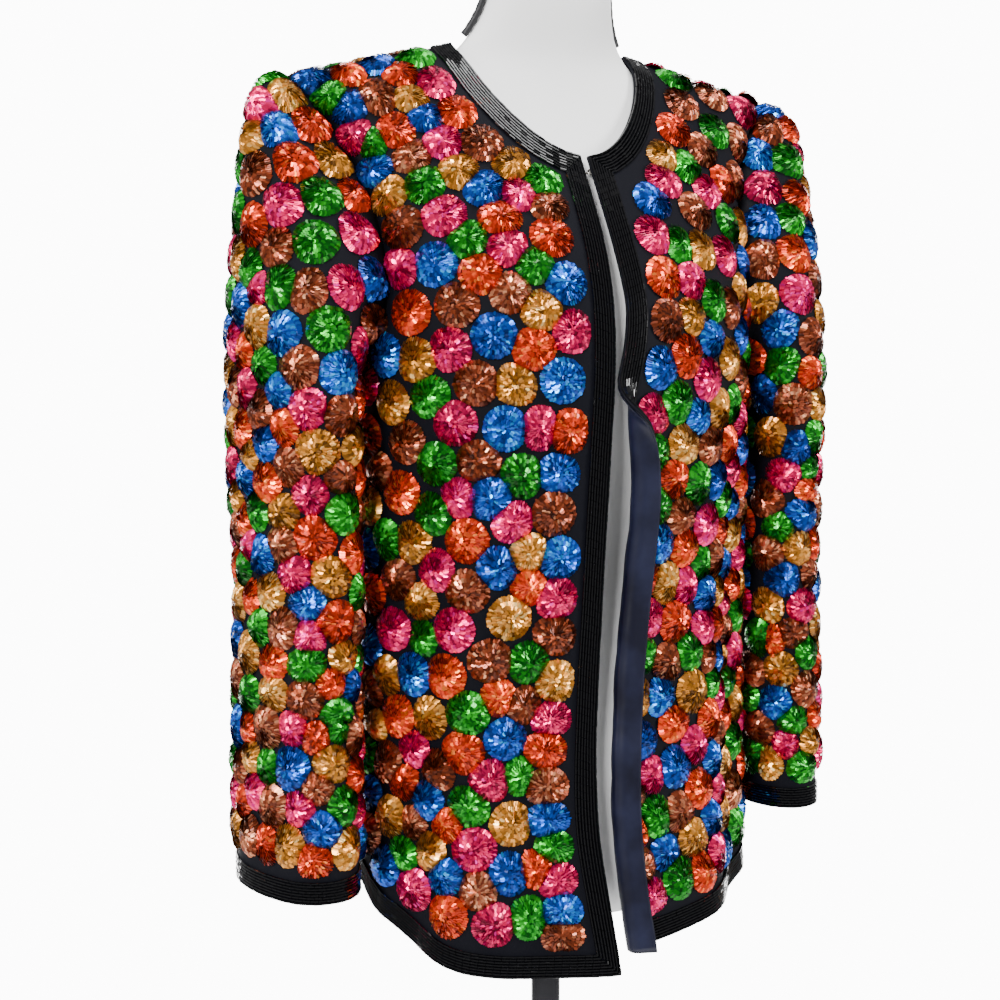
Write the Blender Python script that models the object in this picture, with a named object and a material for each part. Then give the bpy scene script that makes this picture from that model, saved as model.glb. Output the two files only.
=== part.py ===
"""Sequin jacket on a limbless dress form and stand.

Metres, +Z up. The stand's axis is x = y = 0 and the floor is z = 0. The jacket's
front faces -Y and the wearer's right side is -X. Each cloth panel is drawn flat
as (p, q): p runs round the body from the centre line, q runs up from the hem.
"""
import math
import random
from collections import namedtuple

import bmesh
import bpy
import numpy as np
from mathutils import Vector
from mathutils.geometry import delaunay_2d_cdt

for old in list(bpy.data.objects):
    bpy.data.objects.remove(old, do_unlink=True)

# Driving dimensions of the jacket
CLOTH = 0.0022              # wall of a panel with its lining
SEAM_GAP = 0.0003           # space left between two pieces
NECK_WIDTH = 0.0790         # neck side from the centre line, along the shoulder
NECK_DROP = 0.105           # front neck below the shoulder seam, on the flat
NECK_POWER = 1.12           # 1 for an elliptical front neck
BACK_NECK_DROP = 0.040
TOP_Q = 0.725               # shoulder seam above the hem line, on a front's flat
BACK_TOP_Q = 0.750          # the same on the back's flat
UNDERARM_Q = 0.450          # underarm above the hem line
ARMHOLE_REACH = 0.085       # how far the armhole cuts into a panel
CUFF_Z = {"sleeve_right": 0.735, "sleeve_left": 0.757}
BICEP_Z = 1.090
SLEEVE_ROUND = 0.350        # flat width of a sleeve

# Trim and decoration
BAND_WIDTH = 0.0175         # eight rows of bugle beads
BAND_LIFT = 0.00035
BAND_TOP = 0.0022
PLAIN_MARGIN = 0.0250       # from a free edge to the first dome
DOME_HEIGHT = 0.0058
DOME_AREA = 0.0272 * 0.0305 * 0.96
TALLNESS = 0.86             # width of a dome over its height
SPACING = 0.021             # point spacing along outlines

# The left front edge, turned back below the bust
FLAP_WIDTH = 0.027
FLAP_START_Q = 0.510
FLAP_FULL_Q = 0.370
FLAP_RADIUS = 0.0048
FLAP_TURN = math.radians(170)
FACING_INSIDE = 0.028       # facing beyond the roll line
FACING_LIFT = 0.0008
FACING_THICK = 0.0010

# Body sections: q on the flat, height at the centre, depth from the side plane,
# half width and height at the side plane
Section = namedtuple("Section", "q centre_z depth side_x side_z")
FRONT = (
    Section(-0.030, 0.650, 0.139, 0.165, 0.655),
    Section(0.000, 0.680, 0.136, 0.163, 0.685),
    Section(0.120, 0.800, 0.121, 0.160, 0.802),
    Section(0.270, 0.950, 0.116, 0.159, 0.950),
    Section(0.370, 1.050, 0.124, 0.160, 1.050),
    Section(0.450, 1.128, 0.127, 0.163, 1.131),
    Section(0.530, 1.203, 0.114, 0.168, 1.209),
    Section(0.620, 1.288, 0.0755, 0.180, 1.288),
    Section(0.665, 1.340, 0.047, 0.197, 1.322),
    Section(0.700, 1.378, 0.022, 0.210, 1.339),
    Section(0.725, 1.397, 0.000, 0.215, 1.345),
)
BACK = (
    Section(-0.030, 0.655, 0.125, 0.165, 0.655),
    Section(0.000, 0.685, 0.123, 0.163, 0.685),
    Section(0.120, 0.802, 0.114, 0.160, 0.802),
    Section(0.270, 0.950, 0.108, 0.159, 0.950),
    Section(0.370, 1.050, 0.113, 0.160, 1.050),
    Section(0.450, 1.131, 0.119, 0.163, 1.131),
    Section(0.530, 1.209, 0.120, 0.168, 1.209),
    Section(0.620, 1.294, 0.105, 0.180, 1.288),
    Section(0.665, 1.334, 0.086, 0.193, 1.317),
    Section(0.705, 1.362, 0.056, 0.207, 1.334),
    Section(0.732, 1.384, 0.027, 0.213, 1.342),
    Section(0.750, 1.397, 0.000, 0.215, 1.345),
)
ROUNDNESS = 0.60            # handle length of a body quarter, 0.55 for an ellipse
SET_BACK = 0.016            # shoulder seams behind the stand's axis
SET_BACK_FROM = 1.160       # height at which the body starts to lean back
SHOULDER_Z = FRONT[-1].side_z

# Sleeve sections: height, centre, half thickness, half depth fore and aft
Ring = namedtuple("Ring", "z x y thick deep")
SLEEVES = {
    "sleeve_right": (
        Ring(0.690, 0.2200, -0.016, 0.0398, 0.064),
        Ring(0.735, 0.2198, -0.014, 0.0395, 0.065),
        Ring(0.850, 0.2180, -0.008, 0.0385, 0.068),
        Ring(0.980, 0.2160, -0.003, 0.0372, 0.071),
        Ring(1.090, 0.2155, 0.000, 0.0368, 0.075),
        Ring(1.150, 0.2155, 0.002, 0.0368, 0.077),
    ),
    "sleeve_left": (
        Ring(0.710, 0.2085, -0.012, 0.0335, 0.060),
        Ring(0.757, 0.2085, -0.010, 0.0335, 0.061),
        Ring(0.850, 0.2085, -0.006, 0.0336, 0.064),
        Ring(0.980, 0.2092, -0.002, 0.0336, 0.069),
        Ring(1.090, 0.2110, 0.000, 0.0336, 0.074),
        Ring(1.150, 0.2115, 0.002, 0.0340, 0.076),
    ),
}
SLEEVE_TURN = math.radians(9)

# Folds: q and p of both ends of the crease line, half width, height
Fold = namedtuple("Fold", "p0 q0 p1 q1 half_width rise")
FOLDS = {
    "front_right": (
        Fold(0.150, 0.430, 0.170, 0.060, 0.030, -0.0050),
        Fold(0.105, 0.400, 0.120, 0.020, 0.032, 0.0050),
        Fold(0.060, 0.300, 0.070, -0.02, 0.030, -0.0035),
        Fold(0.018, 0.180, 0.012, -0.05, 0.030, 0.0060),
    ),
    "front_left": (
        Fold(0.165, 0.460, 0.175, 0.020, 0.030, 0.0050),
        Fold(0.130, 0.420, 0.135, 0.000, 0.028, -0.0050),
        Fold(0.085, 0.300, 0.090, -0.02, 0.030, 0.0035),
    ),
    "back": (
        Fold(0.085, 0.420, 0.110, -0.02, 0.036, 0.0050),
        Fold(-0.095, 0.390, -0.105, -0.02, 0.038, 0.0055),
        Fold(0.020, 0.300, 0.010, -0.02, 0.040, -0.0040),
        Fold(0.165, 0.380, 0.170, 0.000, 0.028, -0.0035),
        Fold(-0.165, 0.400, -0.170, 0.000, 0.028, -0.0040),
    ),
    "sleeve_right": (
        Fold(0.120, 0.350, 0.090, 0.180, 0.028, -0.0045),
        Fold(0.215, 0.300, 0.245, 0.140, 0.030, -0.0040),
        Fold(0.075, 0.150, 0.110, 0.020, 0.028, 0.0030),
    ),
    "sleeve_left": (
        Fold(0.110, 0.330, 0.085, 0.170, 0.028, -0.0040),
        Fold(0.225, 0.340, 0.250, 0.160, 0.030, -0.0045),
        Fold(0.150, 0.160, 0.120, 0.030, 0.028, 0.0030),
    ),
}


# Tables and curves

def spline(rows, key, name):
    """Smooth curve through one column of a table, as a function of another."""
    knots = np.array([getattr(row, key) for row in rows])
    values = np.array([getattr(row, name) for row in rows])
    slopes = np.gradient(values, knots)

    def read(at):
        at = np.asarray(at, float)
        i = np.clip(np.searchsorted(knots, at) - 1, 0, len(knots) - 2)
        step = knots[i + 1] - knots[i]
        t = (at - knots[i]) / step
        a = (1 + 2 * t) * (1 - t) ** 2 * values[i] + t * (1 - t) ** 2 * step * slopes[i]
        return a + t * t * (3 - 2 * t) * values[i + 1] + t * t * (t - 1) * step * slopes[i + 1]
    return read


def bezier(points, t):
    """Cubic curve; each control point is an array of rows, t has a value per row."""
    t = np.asarray(t, float)[..., None]
    a, b, c, d = points
    return (1 - t) ** 3 * a + 3 * t * (1 - t) ** 2 * b + 3 * t * t * (1 - t) * c + t ** 3 * d


def smoothstep(low, high, value):
    t = np.clip((np.asarray(value, float) - low) / (high - low), 0, 1)
    return t * t * (3 - 2 * t)


def unit(vectors):
    return vectors / np.maximum(np.linalg.norm(vectors, axis=-1, keepdims=True), 1e-12)


def fold_height(panel, p, q):
    """Height that the folds of a panel add at flat points."""
    total = np.zeros(np.shape(p))
    for fold in FOLDS[panel]:
        along_p, along_q = fold.p1 - fold.p0, fold.q1 - fold.q0
        length = math.hypot(along_p, along_q)
        t = ((p - fold.p0) * along_p + (q - fold.q0) * along_q) / length ** 2
        away = ((p - fold.p0) * along_q - (q - fold.q0) * along_p) / length
        bell = np.exp(-(away / fold.half_width) ** 2 * 1.6)
        ends = smoothstep(0.0, 0.35, t) * (1 - smoothstep(1.25, 1.7, t))
        total = total + fold.rise * bell * ends
    return total


def along(points, distance):
    """Points at a distance along cubic curves, one curve per row."""
    ladder = np.linspace(0, 1, 41)
    shape = np.shape(distance)
    steps = np.stack([bezier(points, np.full(shape, t)) for t in ladder], 0)
    lengths = np.linalg.norm(np.diff(steps, axis=0), axis=-1)
    reach = np.concatenate([np.zeros((1,) + shape), np.cumsum(lengths, 0)], 0)
    i = np.clip((reach <= distance).sum(0) - 1, 0, len(ladder) - 2)
    start = np.take_along_axis(reach, i[None], 0)[0]
    end = np.take_along_axis(reach, i[None] + 1, 0)[0]
    t = ladder[i] + (distance - start) / np.maximum(end - start, 1e-9) * ladder[1]
    return bezier(points, t), reach[-1]


def body_surface(sections, side):
    """Flat points to one quarter of the body, x > 0: the front (-1) or the back (1)."""
    read = {name: spline(sections, "q", name) for name in Section._fields[1:]}

    def section_curve(q):
        centre_z, depth = read["centre_z"](q), side * read["depth"](q)
        side_x, side_z = read["side_x"](q), read["side_z"](q)
        near_z = centre_z + (side_z - centre_z) * ROUNDNESS
        zero = np.zeros(q.shape)
        back = SET_BACK * smoothstep(SET_BACK_FROM, SHOULDER_Z, side_z)
        return [
            np.stack([zero, depth + back, centre_z], -1),
            np.stack([side_x * ROUNDNESS, depth + back, near_z], -1),
            np.stack([side_x, depth * ROUNDNESS + back, side_z], -1),
            np.stack([side_x, back, side_z], -1),
        ]

    def place(p, q):
        p, q = np.broadcast_arrays(np.asarray(p, float), np.asarray(q, float))
        found, _ = along(section_curve(q), np.abs(p))
        found[..., 0] = np.where(p < 0, -found[..., 0], found[..., 0])
        return found

    levels = np.linspace(-0.03, sections[-1].q, 60)
    widths = along(section_curve(levels), np.zeros(60))[1]
    return place, lambda q: np.interp(q, levels, widths)


front_place, front_width = body_surface(FRONT, -1)
back_place, back_width = body_surface(BACK, 1)


def armhole_flat(width, top, v):
    """Armhole on a panel's flat, from the underarm (0) to the shoulder point (1)."""
    low, high = float(width(UNDERARM_Q)), float(width(top))
    points = [np.array(point) for point in (
        (low, UNDERARM_Q),
        (low - ARMHOLE_REACH, UNDERARM_Q + 0.006),
        (high - 0.045, top - 0.095),
        (high, top),
    )]
    return bezier(points, v)


def armhole(u):
    """Armhole loop in space for x > 0: underarm 0, front 0.25, shoulder 0.5, back 0.75."""
    u = np.asarray(u, float)
    front_flat = armhole_flat(front_width, TOP_Q, np.clip(2 * u, 0, 1))
    back_flat = armhole_flat(back_width, BACK_TOP_Q, np.clip(2 - 2 * u, 0, 1))
    front = front_place(front_flat[..., 0], front_flat[..., 1])
    back = back_place(back_flat[..., 0], back_flat[..., 1])
    return np.where((u <= 0.5)[..., None], front, back)


MEAN_THICK, MEAN_DEEP = 0.0368, 0.070       # sleeve section that sets how u runs round it
ring_angles = np.linspace(0, 2 * math.pi, 181)
ring_arc = np.concatenate([[0], np.cumsum(np.hypot(
    np.diff(MEAN_THICK * np.cos(ring_angles)), np.diff(MEAN_DEEP * np.sin(ring_angles))))])


def sleeve_surface(name):
    """Flat points to one sleeve, x > 0; q runs up from the cuff."""
    read = {column: spline(SLEEVES[name], "z", column) for column in Ring._fields[1:]}
    arm_q = BICEP_Z - CUFF_Z[name]

    def ring(z, u):
        """Point on the hanging sleeve: inner side 0, front 0.25, outer side 0.5."""
        angle = np.interp(u * ring_arc[-1], ring_arc, ring_angles)
        across = -read["thick"](z) * np.cos(angle)
        forward = -read["deep"](z) * np.sin(angle)
        turn_x = across * math.cos(SLEEVE_TURN) + forward * math.sin(SLEEVE_TURN)
        turn_y = forward * math.cos(SLEEVE_TURN) - across * math.sin(SLEEVE_TURN)
        return np.stack([read["x"](z) + turn_x, read["y"](z) + turn_y, z], -1)

    def cap_curve(u):
        """Columns of the sleeve head, from the bicep ring up to the armhole."""
        low, high = ring(np.full(u.shape, BICEP_Z), u), armhole(u)
        span = np.linalg.norm(high - low, axis=-1, keepdims=True)
        up = np.zeros(low.shape)
        up[..., 2] = 1.0
        rounding = np.sin(math.pi * u) ** 2
        out = unit(np.stack([
            np.full(u.shape, 0.97), -0.12 * np.sin(2 * math.pi * u), -0.12 + 0.15 * rounding], -1))
        near_ring = low + up * span * (0.62 + 0.25 * rounding)[..., None]
        near_armhole = high + out * span * (0.20 - 0.060 * rounding)[..., None]
        return [low, near_ring, near_armhole, high]

    def top(u):
        """Flat height of the armhole edge."""
        return arm_q + along(cap_curve(np.asarray(u, float)), np.zeros(np.shape(u)))[1]

    def place(p, q):
        p, q = np.broadcast_arrays(np.asarray(p, float), np.asarray(q, float))
        u = np.mod(p / SLEEVE_ROUND, 1.0)
        hanging = ring(CUFF_Z[name] + np.minimum(q, arm_q), u)
        head, _ = along(cap_curve(u), np.maximum(q - arm_q, 0))
        return np.where((q > arm_q)[..., None], head, hanging)

    return place, top


sleeves = {name: sleeve_surface(name) for name in SLEEVES}


# Edges and hems on the flat

Edge = namedtuple("Edge", "q right left")
FRONT_EDGE = (              # right free edge and left roll line from the centre line
    Edge(-0.030, 0.005, 0.010),
    Edge(0.000, 0.008, 0.009),
    Edge(0.050, 0.014, 0.004),
    Edge(0.090, 0.018, 0.002),
    Edge(0.200, 0.014, 0.006),
    Edge(0.270, 0.0105, 0.0115),
    Edge(0.350, 0.0095, 0.0160),
    Edge(0.420, 0.0080, 0.0100),
    Edge(0.470, 0.0060, 0.0080),
    Edge(0.540, 0.0040, 0.0040),
    Edge(0.640, 0.0035, 0.0025),
)
edge_right = spline(FRONT_EDGE, "q", "right")
edge_left = spline(FRONT_EDGE, "q", "left")

Hem = namedtuple("Hem", "p q")
HEMS = {
    "front_right": (Hem(-0.050, -0.011), Hem(0.020, -0.011), Hem(0.110, -0.010), Hem(0.150, -0.004),
                    Hem(0.185, 0.012), Hem(0.250, 0.040)),
    "front_left": (Hem(-0.050, 0.003), Hem(-0.020, 0.003), Hem(0.010, 0.006), Hem(0.090, 0.014),
                   Hem(0.160, 0.026), Hem(0.250, 0.050)),
    "back": (Hem(-0.250, 0.040), Hem(-0.120, 0.022), Hem(0.000, 0.014), Hem(0.120, 0.026),
             Hem(0.250, 0.050)),
}


def flap_width(q):
    return FLAP_WIDTH * (1 - smoothstep(FLAP_FULL_Q, FLAP_START_Q, q))


class Cloth:
    """One panel: its flat outline and the way from the flat to space."""

    def __init__(self, name, place, width, mirror, facing):
        self.name, self.place, self.width = name, place, width
        self.mirror, self.facing = mirror, facing * mirror
        self.turned = name == "front_left"

    def ground(self, p, q):
        found = self.place(p, q)
        found[..., 0] *= self.mirror
        return found

    def cross(self, where, p, q):
        step = 0.0008
        along_p = where(p + step, q) - where(p - step, q)
        along_q = where(p, q + step) - where(p, q - step)
        return self.facing * unit(np.cross(along_p, along_q))

    def flat_face(self, p, q):
        rise = fold_height(self.name, p, q)
        if self.width is not None:
            rise = rise * smoothstep(0.002, 0.030, self.width(q) - np.abs(p))
        return self.ground(p, q) + self.cross(self.ground, p, q) * rise[..., None]

    def face(self, p, q):
        """Outer face of the cloth, with folds and with the turned-back edge."""
        p, q = np.broadcast_arrays(np.asarray(p, float), np.asarray(q, float))
        if not self.turned:
            return self.flat_face(p, q)
        roll = edge_left(q)
        past = np.maximum(roll - p, 0.0)
        base = self.flat_face(np.maximum(p, roll), q)
        normal = self.cross(self.flat_face, np.maximum(p, roll) + 0.001, q)
        inward = self.flat_face(roll, q) - self.flat_face(roll + 0.002, q)
        inward = unit(inward - normal * (inward * normal).sum(-1, keepdims=True))
        limit = FLAP_TURN * smoothstep(0.0125, FLAP_WIDTH, flap_width(q)) + 1e-6
        turn = np.minimum(past / FLAP_RADIUS, limit)
        straight = np.maximum(past - FLAP_RADIUS * limit, 0.0)
        side = FLAP_RADIUS * np.sin(turn) + straight * np.cos(limit)
        rise = FLAP_RADIUS * (1 - np.cos(turn)) + straight * np.sin(limit)
        return base + inward * side[..., None] + normal * rise[..., None]

    def normal(self, p, q):
        return self.cross(self.face, np.asarray(p, float), np.asarray(q, float))


cloths = {
    "front_right": Cloth("front_right", front_place, front_width, -1, 1),
    "front_left": Cloth("front_left", front_place, front_width, 1, 1),
    "back": Cloth("back", back_place, back_width, 1, -1),
    "sleeve_right": Cloth("sleeve_right", sleeves["sleeve_right"][0], None, -1, 1),
    "sleeve_left": Cloth("sleeve_left", sleeves["sleeve_left"][0], None, 1, 1),
}


# Outlines on the flat

Trace = namedtuple("Trace", "flat runs seam_edges")


def trace(segments):
    """Join named runs of flat points into one closed outline, walked with the cloth on its left."""
    flat, runs, seam_edges = [], {}, []
    for name, is_seam, points in segments:
        first = len(flat)
        flat += [tuple(point) for point in points[:-1]]
        seam_edges += [is_seam] * (len(points) - 1)
        runs[name] = list(range(first, first + len(points)))
    runs = {name: [i % len(flat) for i in run] for name, run in runs.items()}
    return Trace(np.array(flat), runs, seam_edges)


def spread(start, stop, first_step=None):
    """Even values from start to stop, about SPACING apart, after an exact first step."""
    way = math.copysign(1.0, stop - start)
    head = [] if first_step is None else [start]
    begin = start if first_step is None else start + way * first_step
    count = max(int(round(abs(stop - begin) / SPACING)), 1)
    return np.array(head + list(np.linspace(begin, stop, count + 1)))


def column(first, second):
    first, second = np.broadcast_arrays(np.asarray(first, float), np.asarray(second, float))
    return np.stack([first, second], -1)


def hem_q(name):
    read = spline(HEMS[name], "p", "q")
    return lambda p: read(np.clip(p, HEMS[name][0].p, HEMS[name][-1].p))


ARMHOLE_V = np.linspace(0, 1, 14)
CURL_STEPS = (1.40, 0.93, 0.47, 0.0)        # angles of the curl's columns, from the flap in


def curl_offsets(q):
    """Distances past the roll line at which the turned-back edge is given columns."""
    free_part = flap_width(q) - BAND_WIDTH
    return [float(step / (FLAP_WIDTH - BAND_WIDTH) * FLAP_RADIUS * free_part) for step in CURL_STEPS]


def free_edge(name, q):
    return edge_right(q) if name == "front_right" else edge_left(q) - flap_width(q)


def front_outline(name):
    hem = hem_q(name)
    corner_q = 0.0
    for _ in range(8):
        corner_q = float(hem(free_edge(name, corner_q)))
    corner_p = float(free_edge(name, corner_q))
    side_q = float(hem(0.250))
    side_p = float(front_width(side_q))
    if name == "front_left":
        roll = float(edge_left(corner_q))
        hem_p = [corner_p] + [roll - past for past in curl_offsets(corner_q)]
        hem_p = np.array(hem_p + list(spread(roll, side_p)[1:]))
    else:
        hem_p = spread(corner_p, side_p, SPACING)
    side = spread(side_q, UNDERARM_Q, BAND_WIDTH)
    corner = float(free_edge(name, TOP_Q - NECK_DROP)) / NECK_WIDTH
    angle = np.linspace(0, math.acos(corner ** (1 / NECK_POWER)), 8)
    neck = column(NECK_WIDTH * np.cos(angle) ** NECK_POWER,
                  TOP_Q - NECK_DROP * np.sin(angle) ** NECK_POWER)
    edge_q = spread(neck[-1, 1], corner_q)
    if name == "front_left":        # closer rows where the edge starts to turn back
        halfway = (edge_q[1:] + edge_q[:-1]) / 2
        turning = (halfway > FLAP_FULL_Q - 0.01) & (halfway < FLAP_START_Q)
        edge_q = np.sort(np.concatenate([edge_q, halfway[turning]]))[::-1]
    hem_rows = hem(hem_p)
    hem_rows[0], hem_rows[-1] = corner_q, side_q
    shoulder = spread(NECK_WIDTH, float(front_width(TOP_Q)), BAND_WIDTH)[::-1]
    edge = column(free_edge(name, edge_q), edge_q)
    edge[0], edge[-1] = neck[-1], (corner_p, corner_q)
    return trace([
        ("hem", False, column(hem_p, hem_rows)),
        ("side", True, column(front_width(side), side)),
        ("armhole", True, armhole_flat(front_width, TOP_Q, ARMHOLE_V)),
        ("shoulder", True, column(shoulder, TOP_Q)),
        ("neck", False, neck),
        ("edge", False, edge),
    ])


def back_outline():
    hem = hem_q("back")
    right_q, left_q = float(hem(-0.250)), float(hem(0.250))
    hem_p = spread(-float(back_width(right_q)), float(back_width(left_q)))
    hem_rows = hem(hem_p)
    hem_rows[0], hem_rows[-1] = right_q, left_q
    left, right = spread(left_q, UNDERARM_Q, BAND_WIDTH), spread(right_q, UNDERARM_Q, BAND_WIDTH)
    shoulder = spread(NECK_WIDTH, float(back_width(BACK_TOP_Q)), BAND_WIDTH)
    angle = np.linspace(0, math.pi, 10)
    neck = column(NECK_WIDTH * np.cos(angle), BACK_TOP_Q - BACK_NECK_DROP * np.sin(angle))
    arm = armhole_flat(back_width, BACK_TOP_Q, ARMHOLE_V)
    return trace([
        ("hem", False, column(hem_p, hem_rows)),
        ("side_left", True, column(back_width(left), left)),
        ("armhole_left", True, arm),
        ("shoulder_left", True, column(shoulder[::-1], BACK_TOP_Q)),
        ("neck", False, neck),
        ("shoulder_right", True, column(-shoulder, BACK_TOP_Q)),
        ("armhole_right", True, arm[::-1] * (-1, 1)),
        ("side_right", True, column(-back_width(right), right)[::-1]),
    ])


def sleeve_outline(name):
    u = np.concatenate([1 - ARMHOLE_V / 2, (ARMHOLE_V[::-1] / 2)[1:]])
    top = sleeves[name][1](u)
    side = spread(0.0, float(top[0]), BAND_WIDTH)
    side_back = side.copy()
    side_back[-1] = top[-1]
    cuff = np.linspace(0, SLEEVE_ROUND, 18)
    return trace([
        ("cuff", False, column(cuff, 0.0)),
        ("weld_far", False, column(SLEEVE_ROUND, side)),
        ("armhole", True, column(u * SLEEVE_ROUND, top)),
        ("weld_near", False, column(0.0, side_back[::-1])),
    ])


def inward(points, i, first, second):
    """Move of corner i that shifts the edge before it by first and the one after by second."""
    before = points[i] - points[i - 1]
    after = points[(i + 1) % len(points)] - points[i]
    rows = np.array([[-before[1], before[0]], [-after[1], after[0]]])
    rows /= np.linalg.norm(rows, axis=1, keepdims=True)
    return np.linalg.lstsq(rows, np.array([first, second]), rcond=0.05)[0]


def seam_inset(outline):
    """Outline points drawn in by half a seam gap along the seams, and more on a sleeve."""
    half = SEAM_GAP if "weld_far" in outline.runs else SEAM_GAP / 2
    drawn = outline.flat.copy()
    for i in range(len(drawn)):
        first = half if outline.seam_edges[i - 1] else 0.0
        second = half if outline.seam_edges[i] else 0.0
        if first or second:
            drawn[i] += inward(outline.flat, i, first, second)
    if "weld_far" in outline.runs:
        for end in (outline.runs["weld_far"][-1], outline.runs["weld_near"][0]):
            drawn[end] = outline.flat[end] - (0.0, half)
    return drawn


def band_line(outline, path, first, last):
    """Inner line of a bead band along a path of outline points."""
    line = [outline.flat[first]]
    for i in path[1:-1]:
        line.append(outline.flat[i] + inward(outline.flat, i, BAND_WIDTH, BAND_WIDTH))
    return np.array(line + [outline.flat[last]])


# Packing of the domes

def inside(polygon, points):
    x, y = points[:, 0:1], points[:, 1:2]
    a, b = polygon, np.roll(polygon, -1, axis=0)
    crosses = (a[:, 1] > y) != (b[:, 1] > y)
    with np.errstate(divide="ignore", invalid="ignore"):
        at = a[:, 0] + (y - a[:, 1]) / (b[:, 1] - a[:, 1]) * (b[:, 0] - a[:, 0])
    return (crosses & (x < at)).sum(1) % 2 == 1


def distance(points, a, b):
    """Distance of flat points to the nearest of the line pieces a-b."""
    ab = b - a
    t = ((points[:, None] - a) * ab).sum(-1) / np.maximum((ab * ab).sum(-1), 1e-12)
    near = a + np.clip(t, 0, 1)[..., None] * ab
    return np.linalg.norm(points[:, None] - near, axis=-1).min(1)


def dome_centres(cloth, outline, seed):
    """Flat centres of the domes: even cells of unequal size over the decorated area."""
    step = 0.0055
    low, high = outline.flat.min(0), outline.flat.max(0)
    grid = np.stack(np.meshgrid(
        np.arange(low[0] + step / 2, high[0], step),
        np.arange(low[1] + step / 2, high[1], step), indexing="ij"), -1).reshape(-1, 2)
    a, b = outline.flat, np.roll(outline.flat, -1, axis=0)
    seams = np.array(outline.seam_edges)
    free = ~seams
    for name in ("weld_far", "weld_near"):
        if name in outline.runs:
            free[outline.runs[name][:-1]] = False
            seams[outline.runs[name][:-1]] = True
    grid = grid[inside(outline.flat, grid)]
    keep = distance(grid, a[free], b[free]) > PLAIN_MARGIN
    keep &= distance(grid, a[seams], b[seams]) > 0.001
    if cloth.turned:
        keep &= grid[:, 0] > edge_left(grid[:, 1]) + 0.001
    grid = grid[keep]
    nudge = 0.001
    along_p = cloth.ground(grid[:, 0] + nudge, grid[:, 1]) - cloth.ground(*grid.T)
    along_q = cloth.ground(grid[:, 0], grid[:, 1] + nudge) - cloth.ground(*grid.T)
    weight = np.linalg.norm(np.cross(along_p, along_q), axis=1) / nudge ** 2
    count = int(round(weight.sum() * step ** 2 / DOME_AREA))
    squash = np.array([1.0, 1.0, TALLNESS])
    places = cloth.ground(*grid.T) * squash
    draw = random.Random(seed)
    centres = grid[draw.sample(range(len(grid)), count)]
    sizes = np.array([draw.uniform(0.86, 1.15) for _ in range(count)])
    for _ in range(40):
        spots = cloth.ground(*centres.T) * squash
        apart = (places ** 2).sum(1)[:, None] - 2 * places @ spots.T + (spots ** 2).sum(1)
        owner = (apart / sizes ** 2).argmin(1)
        total = np.maximum(np.bincount(owner, weight, count), 1e-9)
        centres = np.stack([
            np.bincount(owner, weight * grid[:, axis], count) / total for axis in (0, 1)], -1)
    return centres


def ground_points(centres, outline, lines):
    """Points on the ground between neighbouring domes."""
    tris = delaunay_2d_cdt([Vector(c) for c in centres], [], [], 0, 1e-7, False)[2]
    found = []
    for tri in tris:
        corners = centres[list(tri)]
        sides = np.linalg.norm(corners - np.roll(corners, 1, axis=0), axis=1)
        if sides.max() < 0.052:
            found.append(corners.mean(0))
    found = np.array(found)
    barrier = [(outline.flat, np.roll(outline.flat, -1, axis=0))]
    barrier += [(line[:-1], line[1:]) for line in lines]
    a = np.concatenate([pair[0] for pair in barrier])
    b = np.concatenate([pair[1] for pair in barrier])
    found = found[inside(outline.flat, found)]
    return found[distance(found, a, b) > 0.005]


# Solids

def material(name, colour, roughness, metallic=0.0):
    made = bpy.data.materials.new(name)
    made.use_nodes = True
    shader = made.node_tree.nodes["Principled BSDF"]
    shader.inputs["Base Color"].default_value = (*colour, 1.0)
    shader.inputs["Roughness"].default_value = roughness
    shader.inputs["Metallic"].default_value = metallic
    return made


GROUND_SILK = material("ground_silk", (0.010, 0.012, 0.028), 0.55)
BUGLES = material("bugle_beads", (0.010, 0.010, 0.014), 0.15)
SATIN = material("satin_facing", (0.020, 0.022, 0.055), 0.35)
LINEN = material("linen", (0.80, 0.79, 0.77), 0.85)
PIPING = material("piping", (0.012, 0.012, 0.014), 0.60)
STEEL = material("steel", (0.18, 0.18, 0.19), 0.25, 1.0)
BASE_PAINT = material("base_paint", (0.030, 0.030, 0.033), 0.40, 0.3)


def solid(name, points, faces, finish):
    """One closed body from points and faces, turned so that its faces point out."""
    mesh = bpy.data.meshes.new(name)
    mesh.from_pydata([tuple(point) for point in points], [], [tuple(face) for face in faces])
    made = bpy.data.objects.new(name, mesh)
    bpy.context.collection.objects.link(made)
    work = bmesh.new()
    work.from_mesh(mesh)
    bmesh.ops.triangulate(work, faces=work.faces[:])
    if work.calc_volume(signed=True) < 0:
        bmesh.ops.reverse_faces(work, faces=work.faces[:])
    work.to_mesh(mesh)
    work.free()
    mesh.materials.append(finish)
    return made


def triangles(points, outline_count, lines):
    """Triangles inside the outline that keep to the lines; crossing lines add points."""
    polygon = np.array(points[:outline_count])
    edges = [(i, (i + 1) % outline_count) for i in range(outline_count)]
    for line in lines:
        edges += list(zip(line[:-1], line[1:]))
    found = delaunay_2d_cdt([Vector(p) for p in points], edges, [], 0, 1e-6, True)
    flat = np.array([tuple(v) for v in found[0]])
    tris = np.array(found[2])
    tris = tris[inside(polygon, flat[tris].mean(1))]
    order = [origin[0] if origin else -1 for origin in found[3]]
    extra = [i for i, origin in enumerate(order) if origin < 0]
    for number, i in enumerate(extra):
        order[i] = len(points) + number
    added = flat[extra].reshape(-1, 2)
    return [[order[i] for i in tri] for tri in tris], added


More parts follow.
